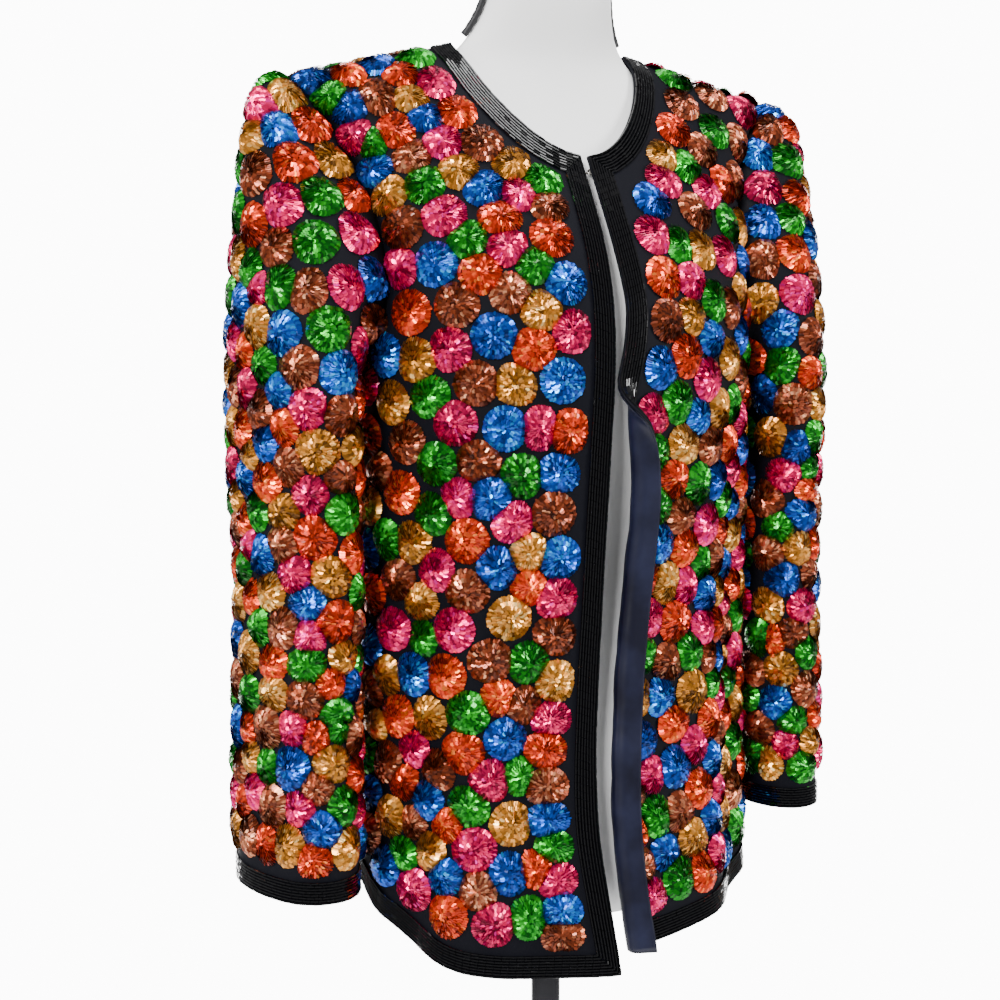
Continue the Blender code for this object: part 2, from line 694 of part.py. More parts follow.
class Corners:
    """Shared wall directions, so that neighbouring rims run side by side."""

    def __init__(self):
        self.places, self.normals = [], []

    def find(self, place):
        for i, known in enumerate(self.places):
            if np.linalg.norm(known - place) < 2e-5:
                return i
        self.places.append(place)
        self.normals.append([])
        return len(self.places) - 1

    def direction(self, place):
        rows = np.array(self.normals[self.find(place)])
        three_meet = len(rows) > 2
        middle = unit(rows.sum(0) * ((1, 0, 1) if three_meet else (1, 1, 1)))
        return middle if three_meet else middle / max((rows @ middle).mean(), 0.6)


corners = Corners()
outlines = {
    "front_right": front_outline("front_right"),
    "front_left": front_outline("front_left"),
    "back": back_outline(),
    "sleeve_right": sleeve_outline("sleeve_right"),
    "sleeve_left": sleeve_outline("sleeve_left"),
}


def seam_points(outline):
    """Outline points that lie on a seam with another panel."""
    found = set()
    for i, is_seam in enumerate(outline.seam_edges):
        if is_seam:
            found |= {i, (i + 1) % len(outline.flat)}
    return sorted(found)


for panel, outline in outlines.items():
    flat = outline.flat[seam_points(outline)]
    near = flat + unit(outline.flat.mean(0) - flat) * 0.0012
    for place, way in zip(cloths[panel].face(*flat.T), cloths[panel].normal(*near.T)):
        corners.normals[corners.find(place)].append(way)


def outline_walls(name):
    """Place and wall direction of every outline point, and its drawn-in flat place."""
    cloth, outline = cloths[name], outlines[name]
    drawn = seam_inset(outline)
    places = cloth.face(*drawn.T)
    directions = cloth.normal(*drawn.T)
    seam = seam_points(outline)
    for i, place in zip(seam, cloth.face(*outline.flat[seam].T)):
        directions[i] = corners.direction(place)
    return drawn, places, directions


Panel = namedtuple("Panel", "cloth outline drawn places directions paths lines domes")


def prepare(name, seed):
    """Work out a panel's outline walls, band lines and domes."""
    cloth, outline = cloths[name], outlines[name]
    drawn, places, directions = outline_walls(name)
    runs = outline.runs
    if name.startswith("front"):
        paths = {"border_" + name: (
            runs["neck"] + runs["edge"][1:] + runs["hem"][1:], runs["shoulder"][-2], runs["side"][1])}
    elif name == "back":
        paths = {
            "border_back_neck": (runs["neck"], runs["shoulder_left"][-2], runs["shoulder_right"][1]),
            "border_back_hem": (runs["hem"], runs["side_right"][-2], runs["side_left"][1]),
        }
    else:
        paths = {name.replace("sleeve", "border_cuff"): (
            runs["cuff"], runs["weld_near"][-2], runs["weld_far"][1])}
    lines = {band: band_line(outline, *path) for band, path in paths.items()}
    centres = dome_centres(cloth, outline, seed)
    return Panel(cloth, outline, drawn, places, directions, paths, lines, centres)


panels = {name: prepare(name, seed) for seed, name in enumerate(cloths, 11)}


def curl_columns(panel):
    """Columns of flat points that carry the curl of the turned-back edge."""
    if not panel.cloth.turned:
        return []
    rows = [float(q) for q in panel.outline.flat[panel.outline.runs["edge"][1:-1], 1]]
    rows = [q for q in rows if flap_width(q) > BAND_WIDTH + 0.004]
    columns = []
    for number in range(len(CURL_STEPS)):
        line = [(float(edge_left(q)) - curl_offsets(q)[number], q) for q in rows]
        hem_point = panel.outline.flat[panel.outline.runs["hem"][1 + number]]
        columns.append(np.array(line + [tuple(hem_point)]))
    return columns


DIAGONAL_WAY = np.array([0.31, 0.42, 0.85])     # rims that meet are split the same way


def build_panel(name):
    """Wall of one panel: domes raised in its outer points over a plain inside."""
    panel = panels[name]
    cloth, count = panel.cloth, len(panel.outline.flat)
    welded = "weld_far" in panel.outline.runs
    columns = curl_columns(panel)
    fixed = list(panel.lines.values())
    grounds = ground_points(panel.domes, panel.outline, fixed + columns)
    flats, lines, diagonals = [panel.drawn], [], []
    used = count
    for band, line in panel.lines.items():
        path, first, last = panel.paths[band]
        inner = line[1:-1]
        ring_line = [first] + list(range(used, used + len(inner))) + [last]
        lines.append(ring_line)
        diagonals += [[a, b] for a, b in zip(ring_line[:-1], path[1:])]
        flats.append(inner)
        used += len(inner)
    for line in columns:
        inner = line[:-1]
        hem_index = panel.outline.runs["hem"][1 + len(lines) - len(panel.lines)]
        lines.append(list(range(used, used + len(inner))) + [hem_index])
        flats.append(inner)
        used += len(inner)
    shared = np.concatenate(flats)

    def side(extra, heights):
        """Points and triangles of one side of the wall."""
        flat = np.concatenate([shared, extra])
        tris, added = triangles(flat, count, lines + diagonals)
        flat = np.concatenate([flat, added])
        heights = np.concatenate([np.zeros(len(shared)), heights, np.zeros(len(added))])
        free = flat[count:]
        places = np.concatenate([panel.places, cloth.face(*free.T)])
        directions = np.concatenate([panel.directions, cloth.normal(*free.T)])
        return places + directions * heights[:, None], directions, tris

    heights = np.concatenate([np.full(len(panel.domes), DOME_HEIGHT), np.zeros(len(grounds))])
    outer, _, outer_tris = side(np.concatenate([panel.domes, grounds]), heights)
    inner, inner_directions, inner_tris = side(panel.domes, np.zeros(len(panel.domes)))
    inner = inner - inner_directions * CLOTH
    points = np.concatenate([outer, inner])
    merged = list(range(len(points)))
    if welded:
        far = panel.outline.runs["weld_far"]
        near = panel.outline.runs["weld_near"][::-1]
        for a, b in zip(far, near):
            merged[a] = b
            merged[len(outer) + a] = len(outer) + b
    shift = len(outer)
    faces = [[merged[i] for i in tri] for tri in outer_tris]
    faces += [[merged[shift + i] for i in reversed(tri)] for tri in inner_tris]
    for i in range(count):
        after = (i + 1) % count
        a, b = merged[i], merged[after]
        c, d = merged[shift + after], merged[shift + i]
        if welded and (i in panel.outline.runs["weld_far"][:-1]
                       or i in panel.outline.runs["weld_near"][:-1]):
            continue
        if points[a] @ DIAGONAL_WAY < points[b] @ DIAGONAL_WAY:
            faces += [[b, a, d], [b, d, c]]
        else:
            faces += [[b, a, c], [a, d, c]]
    used_points = sorted({i for face in faces for i in face})
    renumber = {old: new for new, old in enumerate(used_points)}
    faces = [[renumber[i] for i in face] for face in faces]
    return solid(name, points[used_points], faces, GROUND_SILK)


def build_band(name, panel):
    """Bead band, made from the panel's own edge points moved out."""
    path, first, last = panel.paths[name]
    inner_flat = panel.lines[name][1:-1]
    inner = np.concatenate([
        panel.places[[first]], panel.cloth.face(*inner_flat.T), panel.places[[last]]])
    inner_way = np.concatenate([
        panel.directions[[first]], panel.cloth.normal(*inner_flat.T), panel.directions[[last]]])
    edge, edge_way = panel.places[path], panel.directions[path]
    closed = "weld_far" in panel.outline.runs
    if closed:
        edge, edge_way, inner, inner_way = edge[:-1], edge_way[:-1], inner[:-1], inner_way[:-1]
    layers = [edge + edge_way * BAND_TOP, inner + inner_way * BAND_TOP,
              inner + inner_way * BAND_LIFT, edge + edge_way * BAND_LIFT]
    count = len(edge)
    points = np.concatenate(layers)
    faces = []
    for i in range(count if closed else count - 1):
        after = (i + 1) % count
        for layer in range(4):
            a, b = layer * count, (layer + 1) % 4 * count
            if layer == 0:      # its outer face is split like the panel under it
                faces += [[a + i, a + after, b + i], [a + after, b + after, b + i]]
            else:
                faces += [[a + i, a + after, b + after], [a + i, b + after, b + i]]
    if not closed:
        faces.append([layer * count for layer in range(4)])
        faces.append([layer * count + count - 1 for layer in reversed(range(4))])
    return solid(name, points, faces, BUGLES)


def build_facing():
    """Satin facing on the inner side of the left front, round the turned-back edge."""
    panel = panels["front_left"]
    cloth = panel.cloth
    hem = hem_q("front_left")
    edge = panel.outline.flat[panel.outline.runs["edge"]]
    rows = [q for q in edge[:, 1] if flap_width(q) > BAND_WIDTH + 0.009]
    grid = []
    for number, q in enumerate(rows):
        roll, flap = float(edge_left(q)), float(flap_width(q))
        offsets = [-FACING_INSIDE] + sorted(curl_offsets(q)) + [flap - BAND_WIDTH, flap]
        row = []
        for past in offsets:
            p = roll - past
            row.append((p, max(q, float(hem(p)) + 0.0015) if number == len(rows) - 1 else q))
        grid.append(row)
    flat = np.array(grid)
    places = cloth.face(flat[..., 0], flat[..., 1])
    ways = cloth.normal(flat[..., 0], flat[..., 1])
    near = CLOTH + FACING_LIFT
    layers = [places - ways * near, places - ways * (near + FACING_THICK)]
    high, wide = flat.shape[:2]
    points = np.concatenate([layer.reshape(-1, 3) for layer in layers])
    size = high * wide
    faces = []
    for i in range(high - 1):
        for j in range(wide - 1):
            a, b, c, d = i * wide + j, i * wide + j + 1, (i + 1) * wide + j + 1, (i + 1) * wide + j
            faces += [[a, b, c], [a, c, d], [size + a, size + c, size + b], [size + a, size + d, size + c]]
    rim = [i * wide for i in range(high)] + [(high - 1) * wide + j for j in range(1, wide)]
    rim += [i * wide + wide - 1 for i in range(high - 2, -1, -1)]
    rim += [j for j in range(wide - 2, 0, -1)]
    for i, a in enumerate(rim):
        b = rim[(i + 1) % len(rim)]
        faces += [[a, b, size + b], [a, size + b, size + a]]
    return solid("facing_left", points, faces, SATIN)


for panel_name in cloths:
    build_panel(panel_name)
for panel in panels.values():
    for band_name in panel.paths:
        build_band(band_name, panel)
build_facing()


# Fastening, form and stand

def tube(name, path, radius, finish, sides=8):
    """Closed round bar along a path."""
    path = np.array(path, float)
    ahead = unit(np.gradient(path, axis=0))
    across = unit(np.cross(ahead[0], (0.3, 0.5, 0.8)))
    rings = []
    for place, way in zip(path, ahead):
        across = unit(across - way * np.dot(across, way))
        other = np.cross(way, across)
        for number in range(sides):
            angle = 2 * math.pi * number / sides
            rings.append(place + radius * (math.cos(angle) * across + math.sin(angle) * other))
    return solid(name, rings, ring_faces(len(path), sides), finish)


def ring_faces(rows, sides):
    """Faces of a stack of rings with both ends closed."""
    faces = [list(range(sides))[::-1], list(range((rows - 1) * sides, rows * sides))]
    for row in range(rows - 1):
        for number in range(sides):
            after = (number + 1) % sides
            a, b = row * sides + number, row * sides + after
            faces.append([a, b, b + sides, a + sides])
    return faces


def turned(name, profile, finish, sides=48):
    """Round body from (radius, height) pairs, from the bottom up."""
    points = []
    for radius, height in profile:
        for number in range(sides):
            angle = 2 * math.pi * number / sides
            points.append((radius * math.cos(angle), radius * math.sin(angle), height))
    return solid(name, points, ring_faces(len(profile), sides), finish)


def smooth_path(points, count):
    """Even points on a smooth curve through a few given ones."""
    points = np.array(points, float)
    knots = np.concatenate([[0], np.cumsum(np.linalg.norm(np.diff(points, axis=0), axis=1))])
    slopes = np.gradient(points, knots, axis=0)
    found = []
    for at in np.linspace(0, knots[-1], count):
        i = min(max(int(np.searchsorted(knots, at)) - 1, 0), len(knots) - 2)
        step = knots[i + 1] - knots[i]
        t = (at - knots[i]) / step
        start = (1 + 2 * t) * (1 - t) ** 2 * points[i] + t * (1 - t) ** 2 * step * slopes[i]
        found.append(start + t * t * (3 - 2 * t) * points[i + 1] + t * t * (t - 1) * step * slopes[i + 1])
    return found


WIRE = 0.0006
HOOK_Q = TOP_Q - NECK_DROP - 0.009


def fastening_point(x, up, behind):
    """Point behind the front edges: along x, up the cloth, and behind its inner side."""
    cloth = cloths["front_left"]
    centre = cloth.flat_face(np.array([0.0]), np.array([HOOK_Q]))[0]
    above = cloth.flat_face(np.array([0.0]), np.array([HOOK_Q + 0.004]))[0]
    rise = unit(above - centre)
    out = unit(np.cross((1.0, 0.0, 0.0), rise))
    return centre + np.array((x, 0.0, 0.0)) + rise * up - out * (CLOTH + behind)


HOOK_PATH = ((-0.0125, 0.0011), (-0.0095, 0.0011), (-0.0060, 0.0040), (0.0010, 0.0041),
             (0.0036, 0.0038), (0.0048, 0.0026), (0.0036, 0.0013), (0.0012, 0.0010))
EYE_PATH = ((0.0130, 0.0027, 0.0011), (0.0095, 0.0027, 0.0011), (0.0055, 0.0027, 0.0024),
            (0.0032, 0.0019, 0.0025), (0.0023, 0.0000, 0.0025), (0.0032, -0.0019, 0.0025),
            (0.0055, -0.0027, 0.0024), (0.0095, -0.0027, 0.0011), (0.0130, -0.0027, 0.0011))
tube("hook", smooth_path([fastening_point(x, 0.0, d) for x, d in HOOK_PATH], 22), WIRE, STEEL, 6)
tube("eye", smooth_path([fastening_point(x, up, d) for x, up, d in EYE_PATH], 24), WIRE, STEEL, 6)

# Form sections: height, half width, depth in front and behind, power of the outline
FormRing = namedtuple("FormRing", "z half front back power")
FORM = (
    FormRing(0.700, 0.137, 0.092, 0.088, 2.2),
    FormRing(0.712, 0.146, 0.100, 0.096, 2.2),
    FormRing(0.780, 0.150, 0.104, 0.099, 2.2),
    FormRing(0.880, 0.138, 0.093, 0.088, 2.2),
    FormRing(0.960, 0.124, 0.086, 0.080, 2.2),
    FormRing(1.040, 0.129, 0.094, 0.083, 2.2),
    FormRing(1.130, 0.146, 0.110, 0.092, 2.2),
    FormRing(1.200, 0.153, 0.098, 0.096, 2.2),
    FormRing(1.255, 0.154, 0.080, 0.090, 2.1),
    FormRing(1.300, 0.142, 0.062, 0.075, 1.9),
    FormRing(1.328, 0.122, 0.051, 0.060, 1.8),
    FormRing(1.350, 0.100, 0.045, 0.051, 1.7),
    FormRing(1.366, 0.0812, 0.0425, 0.046, 1.65),
    FormRing(1.382, 0.066, 0.043, 0.044, 1.75),
    FormRing(1.400, 0.056, 0.044, 0.044, 1.9),
    FormRing(1.425, 0.050, 0.045, 0.045, 2.0),
    FormRing(1.462, 0.048, 0.045, 0.045, 2.0),
    FormRing(1.470, 0.043, 0.040, 0.040, 2.0),
)
FORM_SIDES = 36
form_read = {name: spline(FORM, "z", name) for name in FormRing._fields[1:]}


def form_back(z):
    """How far the form leans back with the jacket, below its upright neck."""
    return float(SET_BACK * smoothstep(1.175, 1.320, z) * (1 - smoothstep(1.362, 1.425, z)))


def build_form():
    points = []
    levels = sorted({row.z for row in FORM} | {0.745, 0.830, 0.920, 1.000, 1.085, 1.165, 1.229})
    for z in levels:
        power = 2 / float(form_read["power"](z))
        for number in range(FORM_SIDES):
            angle = 2 * math.pi * number / FORM_SIDES
            x, y = math.cos(angle), math.sin(angle)
            depth = form_read["back"](z) if y > 0 else form_read["front"](z)
            points.append((
                float(form_read["half"](z)) * math.copysign(abs(x) ** power, x),
                float(depth) * math.copysign(abs(y) ** power, y) + form_back(z), z))
    return solid("dress_form", points, ring_faces(len(levels), FORM_SIDES), LINEN)


PIPING_RADIUS = 0.0029
PIPING_LEVELS = (1.4690, 1.4620, 1.4435, 1.4250, 1.4125, 1.4000, 1.3910, 1.3835)


def build_piping(name, side):
    """Piping down the neck's side seam, as far as the jacket's neck edge."""
    path = []
    for z in PIPING_LEVELS:
        low, high = float(form_read["half"](z - 0.002)), float(form_read["half"](z + 0.002))
        out = unit(np.array((0.004, low - high)))
        reach = PIPING_RADIUS + 0.0009
        across = side * (float(form_read["half"](z)) + out[0] * reach)
        path.append((across, form_back(z), z + out[1] * reach))
    return tube(name, smooth_path(path, 18), PIPING_RADIUS, PIPING)


build_form()
build_piping("form_piping_right", -1)
build_piping("form_piping_left", 1)

POLE_RADIUS = 0.012
BASE_RADIUS = 0.180
FORM_FLOOR = FORM[0].z
turned("flange", [(0.030, FORM_FLOOR - 0.0153), (0.050, FORM_FLOOR - 0.0123),
                  (0.052, FORM_FLOOR - 0.0043), (0.050, FORM_FLOOR - SEAM_GAP)], STEEL)
turned("pole", [(POLE_RADIUS, 0.0453), (POLE_RADIUS, FORM_FLOOR - 0.0156)], STEEL)
turned("base", [(BASE_RADIUS - 0.002, 0.0), (BASE_RADIUS, 0.002), (BASE_RADIUS, 0.009),
                (BASE_RADIUS - 0.004, 0.0125), (0.120, 0.0185), (0.050, 0.0225), (0.026, 0.0245),
                (0.021, 0.0290), (0.020, 0.0430), (0.018, 0.0450)], BASE_PAINT)
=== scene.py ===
"""Looks of the sequin jacket on its dress form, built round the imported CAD.

Metres, +Z up. The cloth panels are the CAD's own surfaces, drawn finer, with the
sequin domes at the CAD domes' places. The lights and the camera follow the photo.
"""

import math
import random
from collections import namedtuple

import bpy
import numpy as np
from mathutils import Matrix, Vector
from mathutils.geometry import delaunay_2d_cdt


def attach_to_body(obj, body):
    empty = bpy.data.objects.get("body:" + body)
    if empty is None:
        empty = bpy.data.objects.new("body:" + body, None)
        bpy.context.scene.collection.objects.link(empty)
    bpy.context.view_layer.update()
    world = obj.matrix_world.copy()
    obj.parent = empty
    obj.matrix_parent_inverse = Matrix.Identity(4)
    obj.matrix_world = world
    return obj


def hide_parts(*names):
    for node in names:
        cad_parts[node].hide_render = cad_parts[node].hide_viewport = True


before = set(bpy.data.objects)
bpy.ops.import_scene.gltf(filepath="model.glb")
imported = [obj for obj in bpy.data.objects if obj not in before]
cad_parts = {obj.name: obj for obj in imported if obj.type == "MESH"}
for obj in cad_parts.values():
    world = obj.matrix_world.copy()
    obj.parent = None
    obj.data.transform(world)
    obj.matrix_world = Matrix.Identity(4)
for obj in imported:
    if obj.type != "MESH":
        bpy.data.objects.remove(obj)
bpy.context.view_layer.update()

# Driving dimensions of the jacket
CLOTH = 0.0022              # wall of a panel with its lining
NECK_WIDTH = 0.0790         # neck side from the centre line, along the shoulder
NECK_DROP = 0.105           # front neck below the shoulder seam, on the flat
NECK_POWER = 1.12           # 1 for an elliptical front neck
BACK_NECK_DROP = 0.040
TOP_Q = 0.725               # shoulder seam above the hem line, on a front's flat
BACK_TOP_Q = 0.750          # the same on the back's flat
UNDERARM_Q = 0.450          # underarm above the hem line
ARMHOLE_REACH = 0.085       # how far the armhole cuts into a panel
CUFF_Z = {"sleeve_right": 0.735, "sleeve_left": 0.757}
BICEP_Z = 1.090
SLEEVE_ROUND = 0.350        # flat width of a sleeve

# Trim and decoration
BAND_WIDTH = 0.0175         # eight rows of bugle beads
PLAIN_MARGIN = 0.0250       # from a free edge to the first dome
DOME_AREA = 0.0272 * 0.0305 * 0.96
TALLNESS = 0.86             # width of a dome over its height
SPACING = 0.021             # point spacing along outlines

# The left front edge, turned back below the bust
FLAP_WIDTH = 0.027
FLAP_LEAST = 0.0125         # width up to which it stays flat
FLAP_START_Q = 0.510
FLAP_FULL_Q = 0.370
FLAP_RADIUS = 0.0048
FLAP_TURN = math.radians(170)
FACING_INSIDE = 0.028       # facing beyond the roll line


def table(names, rows):
    """Columns of a table by name."""
    return dict(zip(names.split(), np.array(rows).T))


# Body sections: q on the flat, height at the centre, depth from the side plane,
# half width and height at the side plane
SECTION = "q centre_z depth side_x side_z"
FRONT = table(SECTION, (
    (-0.030, 0.650, 0.139, 0.165, 0.655),
    (0.000, 0.680, 0.136, 0.163, 0.685),
    (0.120, 0.800, 0.121, 0.160, 0.802),
    (0.270, 0.950, 0.116, 0.159, 0.950),
    (0.370, 1.050, 0.124, 0.160, 1.050),
    (0.450, 1.128, 0.127, 0.163, 1.131),
    (0.530, 1.203, 0.114, 0.168, 1.209),
    (0.620, 1.288, 0.0755, 0.180, 1.288),
    (0.665, 1.340, 0.047, 0.197, 1.322),
    (0.700, 1.378, 0.022, 0.210, 1.339),
    (0.725, 1.397, 0.000, 0.215, 1.345),
))
BACK = table(SECTION, (
    (-0.030, 0.655, 0.125, 0.165, 0.655),
    (0.000, 0.685, 0.123, 0.163, 0.685),
    (0.120, 0.802, 0.114, 0.160, 0.802),
    (0.270, 0.950, 0.108, 0.159, 0.950),
    (0.370, 1.050, 0.113, 0.160, 1.050),
    (0.450, 1.131, 0.119, 0.163, 1.131),
    (0.530, 1.209, 0.120, 0.168, 1.209),
    (0.620, 1.294, 0.105, 0.180, 1.288),
    (0.665, 1.334, 0.086, 0.193, 1.317),
    (0.705, 1.362, 0.056, 0.207, 1.334),
    (0.732, 1.384, 0.027, 0.213, 1.342),
    (0.750, 1.397, 0.000, 0.215, 1.345),
))
ROUNDNESS = 0.60            # handle length of a body quarter, 0.55 for an ellipse
SET_BACK = 0.016            # shoulder seams behind the stand's axis
SET_BACK_FROM = 1.160       # height at which the body starts to lean back
SHOULDER_Z = FRONT["side_z"][-1]

# Sleeve sections: height, centre, half thickness, half depth fore and aft
RING = "z x y thick deep"
SLEEVES = {
    "sleeve_right": table(RING, (
        (0.690, 0.2200, -0.016, 0.0398, 0.064),
        (0.735, 0.2198, -0.014, 0.0395, 0.065),
        (0.850, 0.2180, -0.008, 0.0385, 0.068),
        (0.980, 0.2160, -0.003, 0.0372, 0.071),
        (1.090, 0.2155, 0.000, 0.0368, 0.075),
        (1.150, 0.2155, 0.002, 0.0368, 0.077),
    )),
    "sleeve_left": table(RING, (
        (0.710, 0.2085, -0.012, 0.0335, 0.060),
        (0.757, 0.2085, -0.010, 0.0335, 0.061),
        (0.850, 0.2085, -0.006, 0.0336, 0.064),
        (0.980, 0.2092, -0.002, 0.0336, 0.069),
        (1.090, 0.2110, 0.000, 0.0336, 0.074),
        (1.150, 0.2115, 0.002, 0.0340, 0.076),
    )),
}
SLEEVE_TURN = math.radians(9)

FOLD_TIGHT = 1.6
FOLD_STARTS, FOLD_STOPS = (0.0, 0.35), (1.25, 1.7)      # shares of the crease line
FOLD_FADE = (0.002, 0.030)  # from a side seam
# Folds: p and q of both ends of the crease line, half width, height
FOLDS = {
    "front_right": (
        (0.150, 0.430, 0.170, 0.060, 0.030, -0.0050),
        (0.105, 0.400, 0.120, 0.020, 0.032, 0.0050),
        (0.060, 0.300, 0.070, -0.02, 0.030, -0.0035),
        (0.018, 0.180, 0.012, -0.05, 0.030, 0.0060),
    ),
    "front_left": (
        (0.165, 0.460, 0.175, 0.020, 0.030, 0.0050),
        (0.130, 0.420, 0.135, 0.000, 0.028, -0.0050),
        (0.085, 0.300, 0.090, -0.02, 0.030, 0.0035),
    ),
    "back": (
        (0.085, 0.420, 0.110, -0.02, 0.036, 0.0050),
        (-0.095, 0.390, -0.105, -0.02, 0.038, 0.0055),
        (0.020, 0.300, 0.010, -0.02, 0.040, -0.0040),
        (0.165, 0.380, 0.170, 0.000, 0.028, -0.0035),
        (-0.165, 0.400, -0.170, 0.000, 0.028, -0.0040),
    ),
    "sleeve_right": (
        (0.120, 0.350, 0.090, 0.180, 0.028, -0.0045),
        (0.215, 0.300, 0.245, 0.140, 0.030, -0.0040),
        (0.075, 0.150, 0.110, 0.020, 0.028, 0.0030),
    ),
    "sleeve_left": (
        (0.110, 0.330, 0.085, 0.170, 0.028, -0.0040),
        (0.225, 0.340, 0.250, 0.160, 0.030, -0.0045),
        (0.150, 0.160, 0.120, 0.030, 0.028, 0.0030),
    ),
}


# Tables and curves

def hermite(t, start, end, slope_start, slope_end, step=1.0):
    found = (1 + 2 * t) * (1 - t) ** 2 * start + t * (1 - t) ** 2 * step * slope_start
    return found + t * t * (3 - 2 * t) * end + t * t * (t - 1) * step * slope_end


def spline(rows, key, name):
    """Smooth curve through one column of a table, as a function of another."""
    knots, values = rows[key], rows[name]
    slopes = np.gradient(values, knots)

    def read(at):
        at = np.asarray(at, float)
        i = np.clip(np.searchsorted(knots, at) - 1, 0, len(knots) - 2)
        step = knots[i + 1] - knots[i]
        t = (at - knots[i]) / step
        return hermite(t, values[i], values[i + 1], slopes[i], slopes[i + 1], step)
    return read


def columns_of(rows):
    """A smooth curve for each column of a table, as a function of its first."""
    key, *names = rows
    return {name: spline(rows, key, name) for name in names}


def bezier(points, t):
    """Cubic curve; each control point is an array of rows, t has a value per row."""
    t = np.asarray(t, float)[..., None]
    a, b, c, d = points
    return (1 - t) ** 3 * a + 3 * t * (1 - t) ** 2 * b + 3 * t * t * (1 - t) * c + t ** 3 * d


def smoothstep(low, high, value):
    t = np.clip((np.asarray(value, float) - low) / (high - low), 0, 1)
    return t * t * (3 - 2 * t)


def dot(a, b):
    return (a * b).sum(-1)


def unit(vectors):
    return vectors / np.maximum(np.linalg.norm(vectors, axis=-1, keepdims=True), 1e-12)


def across(vectors, normals):
    """Unit vectors along the part of these that is at right angles to the normals."""
    return unit(vectors - normals * dot(vectors, normals)[..., None])


def turns(count):
    """Even angles round a circle."""
    return np.arange(count) * 2 * math.pi / count


def fold_height(panel, p, q):
    """Height that the folds of a panel add at flat points."""
    total = np.zeros(np.shape(p))
    for p0, q0, p1, q1, half_width, rise in FOLDS[panel]:
        along_p, along_q = p1 - p0, q1 - q0
        length = math.hypot(along_p, along_q)
        t = ((p - p0) * along_p + (q - q0) * along_q) / length ** 2
        away = ((p - p0) * along_q - (q - q0) * along_p) / length
        bell = np.exp(-(away / half_width) ** 2 * FOLD_TIGHT)
        ends = smoothstep(*FOLD_STARTS, t) * (1 - smoothstep(*FOLD_STOPS, t))
        total = total + rise * bell * ends
    return total


def along(points, distance):
    """Points at a distance along cubic curves, one curve per row."""
    ladder = np.linspace(0, 1, 41)
    shape = np.shape(distance)
    steps = np.stack([bezier(points, np.full(shape, t)) for t in ladder], 0)
    lengths = np.linalg.norm(np.diff(steps, axis=0), axis=-1)
    reach = np.concatenate([np.zeros((1,) + shape), np.cumsum(lengths, 0)], 0)
    i = np.clip((reach <= distance).sum(0) - 1, 0, len(ladder) - 2)
    start = np.take_along_axis(reach, i[None], 0)[0]
    end = np.take_along_axis(reach, i[None] + 1, 0)[0]
    t = ladder[i] + (distance - start) / np.maximum(end - start, 1e-9) * ladder[1]
    return bezier(points, t), reach[-1]


def body_surface(sections, side):
    """Flat points to one quarter of the body, x > 0: the front (-1) or the back (1)."""
    read = columns_of(sections)

    def section_curve(q):
        centre_z, depth = read["centre_z"](q), side * read["depth"](q)
        side_x, side_z = read["side_x"](q), read["side_z"](q)
        near_z = centre_z + (side_z - centre_z) * ROUNDNESS
        zero = np.zeros(q.shape)
        back = SET_BACK * smoothstep(SET_BACK_FROM, SHOULDER_Z, side_z)
        return [
            np.stack([zero, depth + back, centre_z], -1),
            np.stack([side_x * ROUNDNESS, depth + back, near_z], -1),
            np.stack([side_x, depth * ROUNDNESS + back, side_z], -1),
            np.stack([side_x, back, side_z], -1),
        ]

    def place(p, q):
        p, q = np.broadcast_arrays(np.asarray(p, float), np.asarray(q, float))
        found, _ = along(section_curve(q), np.abs(p))
        found[..., 0] = np.where(p < 0, -found[..., 0], found[..., 0])
        return found

    levels = np.linspace(-0.03, sections["q"][-1], 60)
    widths = along(section_curve(levels), np.zeros(60))[1]
    return place, lambda q: np.interp(q, levels, widths)


front_place, front_width = body_surface(FRONT, -1)
back_place, back_width = body_surface(BACK, 1)


def armhole_flat(width, top, v):
    """Armhole on a panel's flat, from the underarm (0) to the shoulder point (1)."""
    low, high = float(width(UNDERARM_Q)), float(width(top))
    points = [np.array(point) for point in (
        (low, UNDERARM_Q),
        (low - ARMHOLE_REACH, UNDERARM_Q + 0.006),
        (high - 0.045, top - 0.095),
        (high, top),
    )]
    return bezier(points, v)


def armhole(u):
    """Armhole loop in space for x > 0: underarm 0, front 0.25, shoulder 0.5, back 0.75."""
    u = np.asarray(u, float)
    front_flat = armhole_flat(front_width, TOP_Q, np.clip(2 * u, 0, 1))
    back_flat = armhole_flat(back_width, BACK_TOP_Q, np.clip(2 - 2 * u, 0, 1))
    front = front_place(front_flat[..., 0], front_flat[..., 1])
    back = back_place(back_flat[..., 0], back_flat[..., 1])
    return np.where((u <= 0.5)[..., None], front, back)


MEAN_THICK, MEAN_DEEP = 0.0368, 0.070       # sleeve section that sets how u runs round it
ring_angles = np.linspace(0, 2 * math.pi, 181)
ring_arc = np.concatenate([[0], np.cumsum(np.hypot(
    np.diff(MEAN_THICK * np.cos(ring_angles)), np.diff(MEAN_DEEP * np.sin(ring_angles))))])


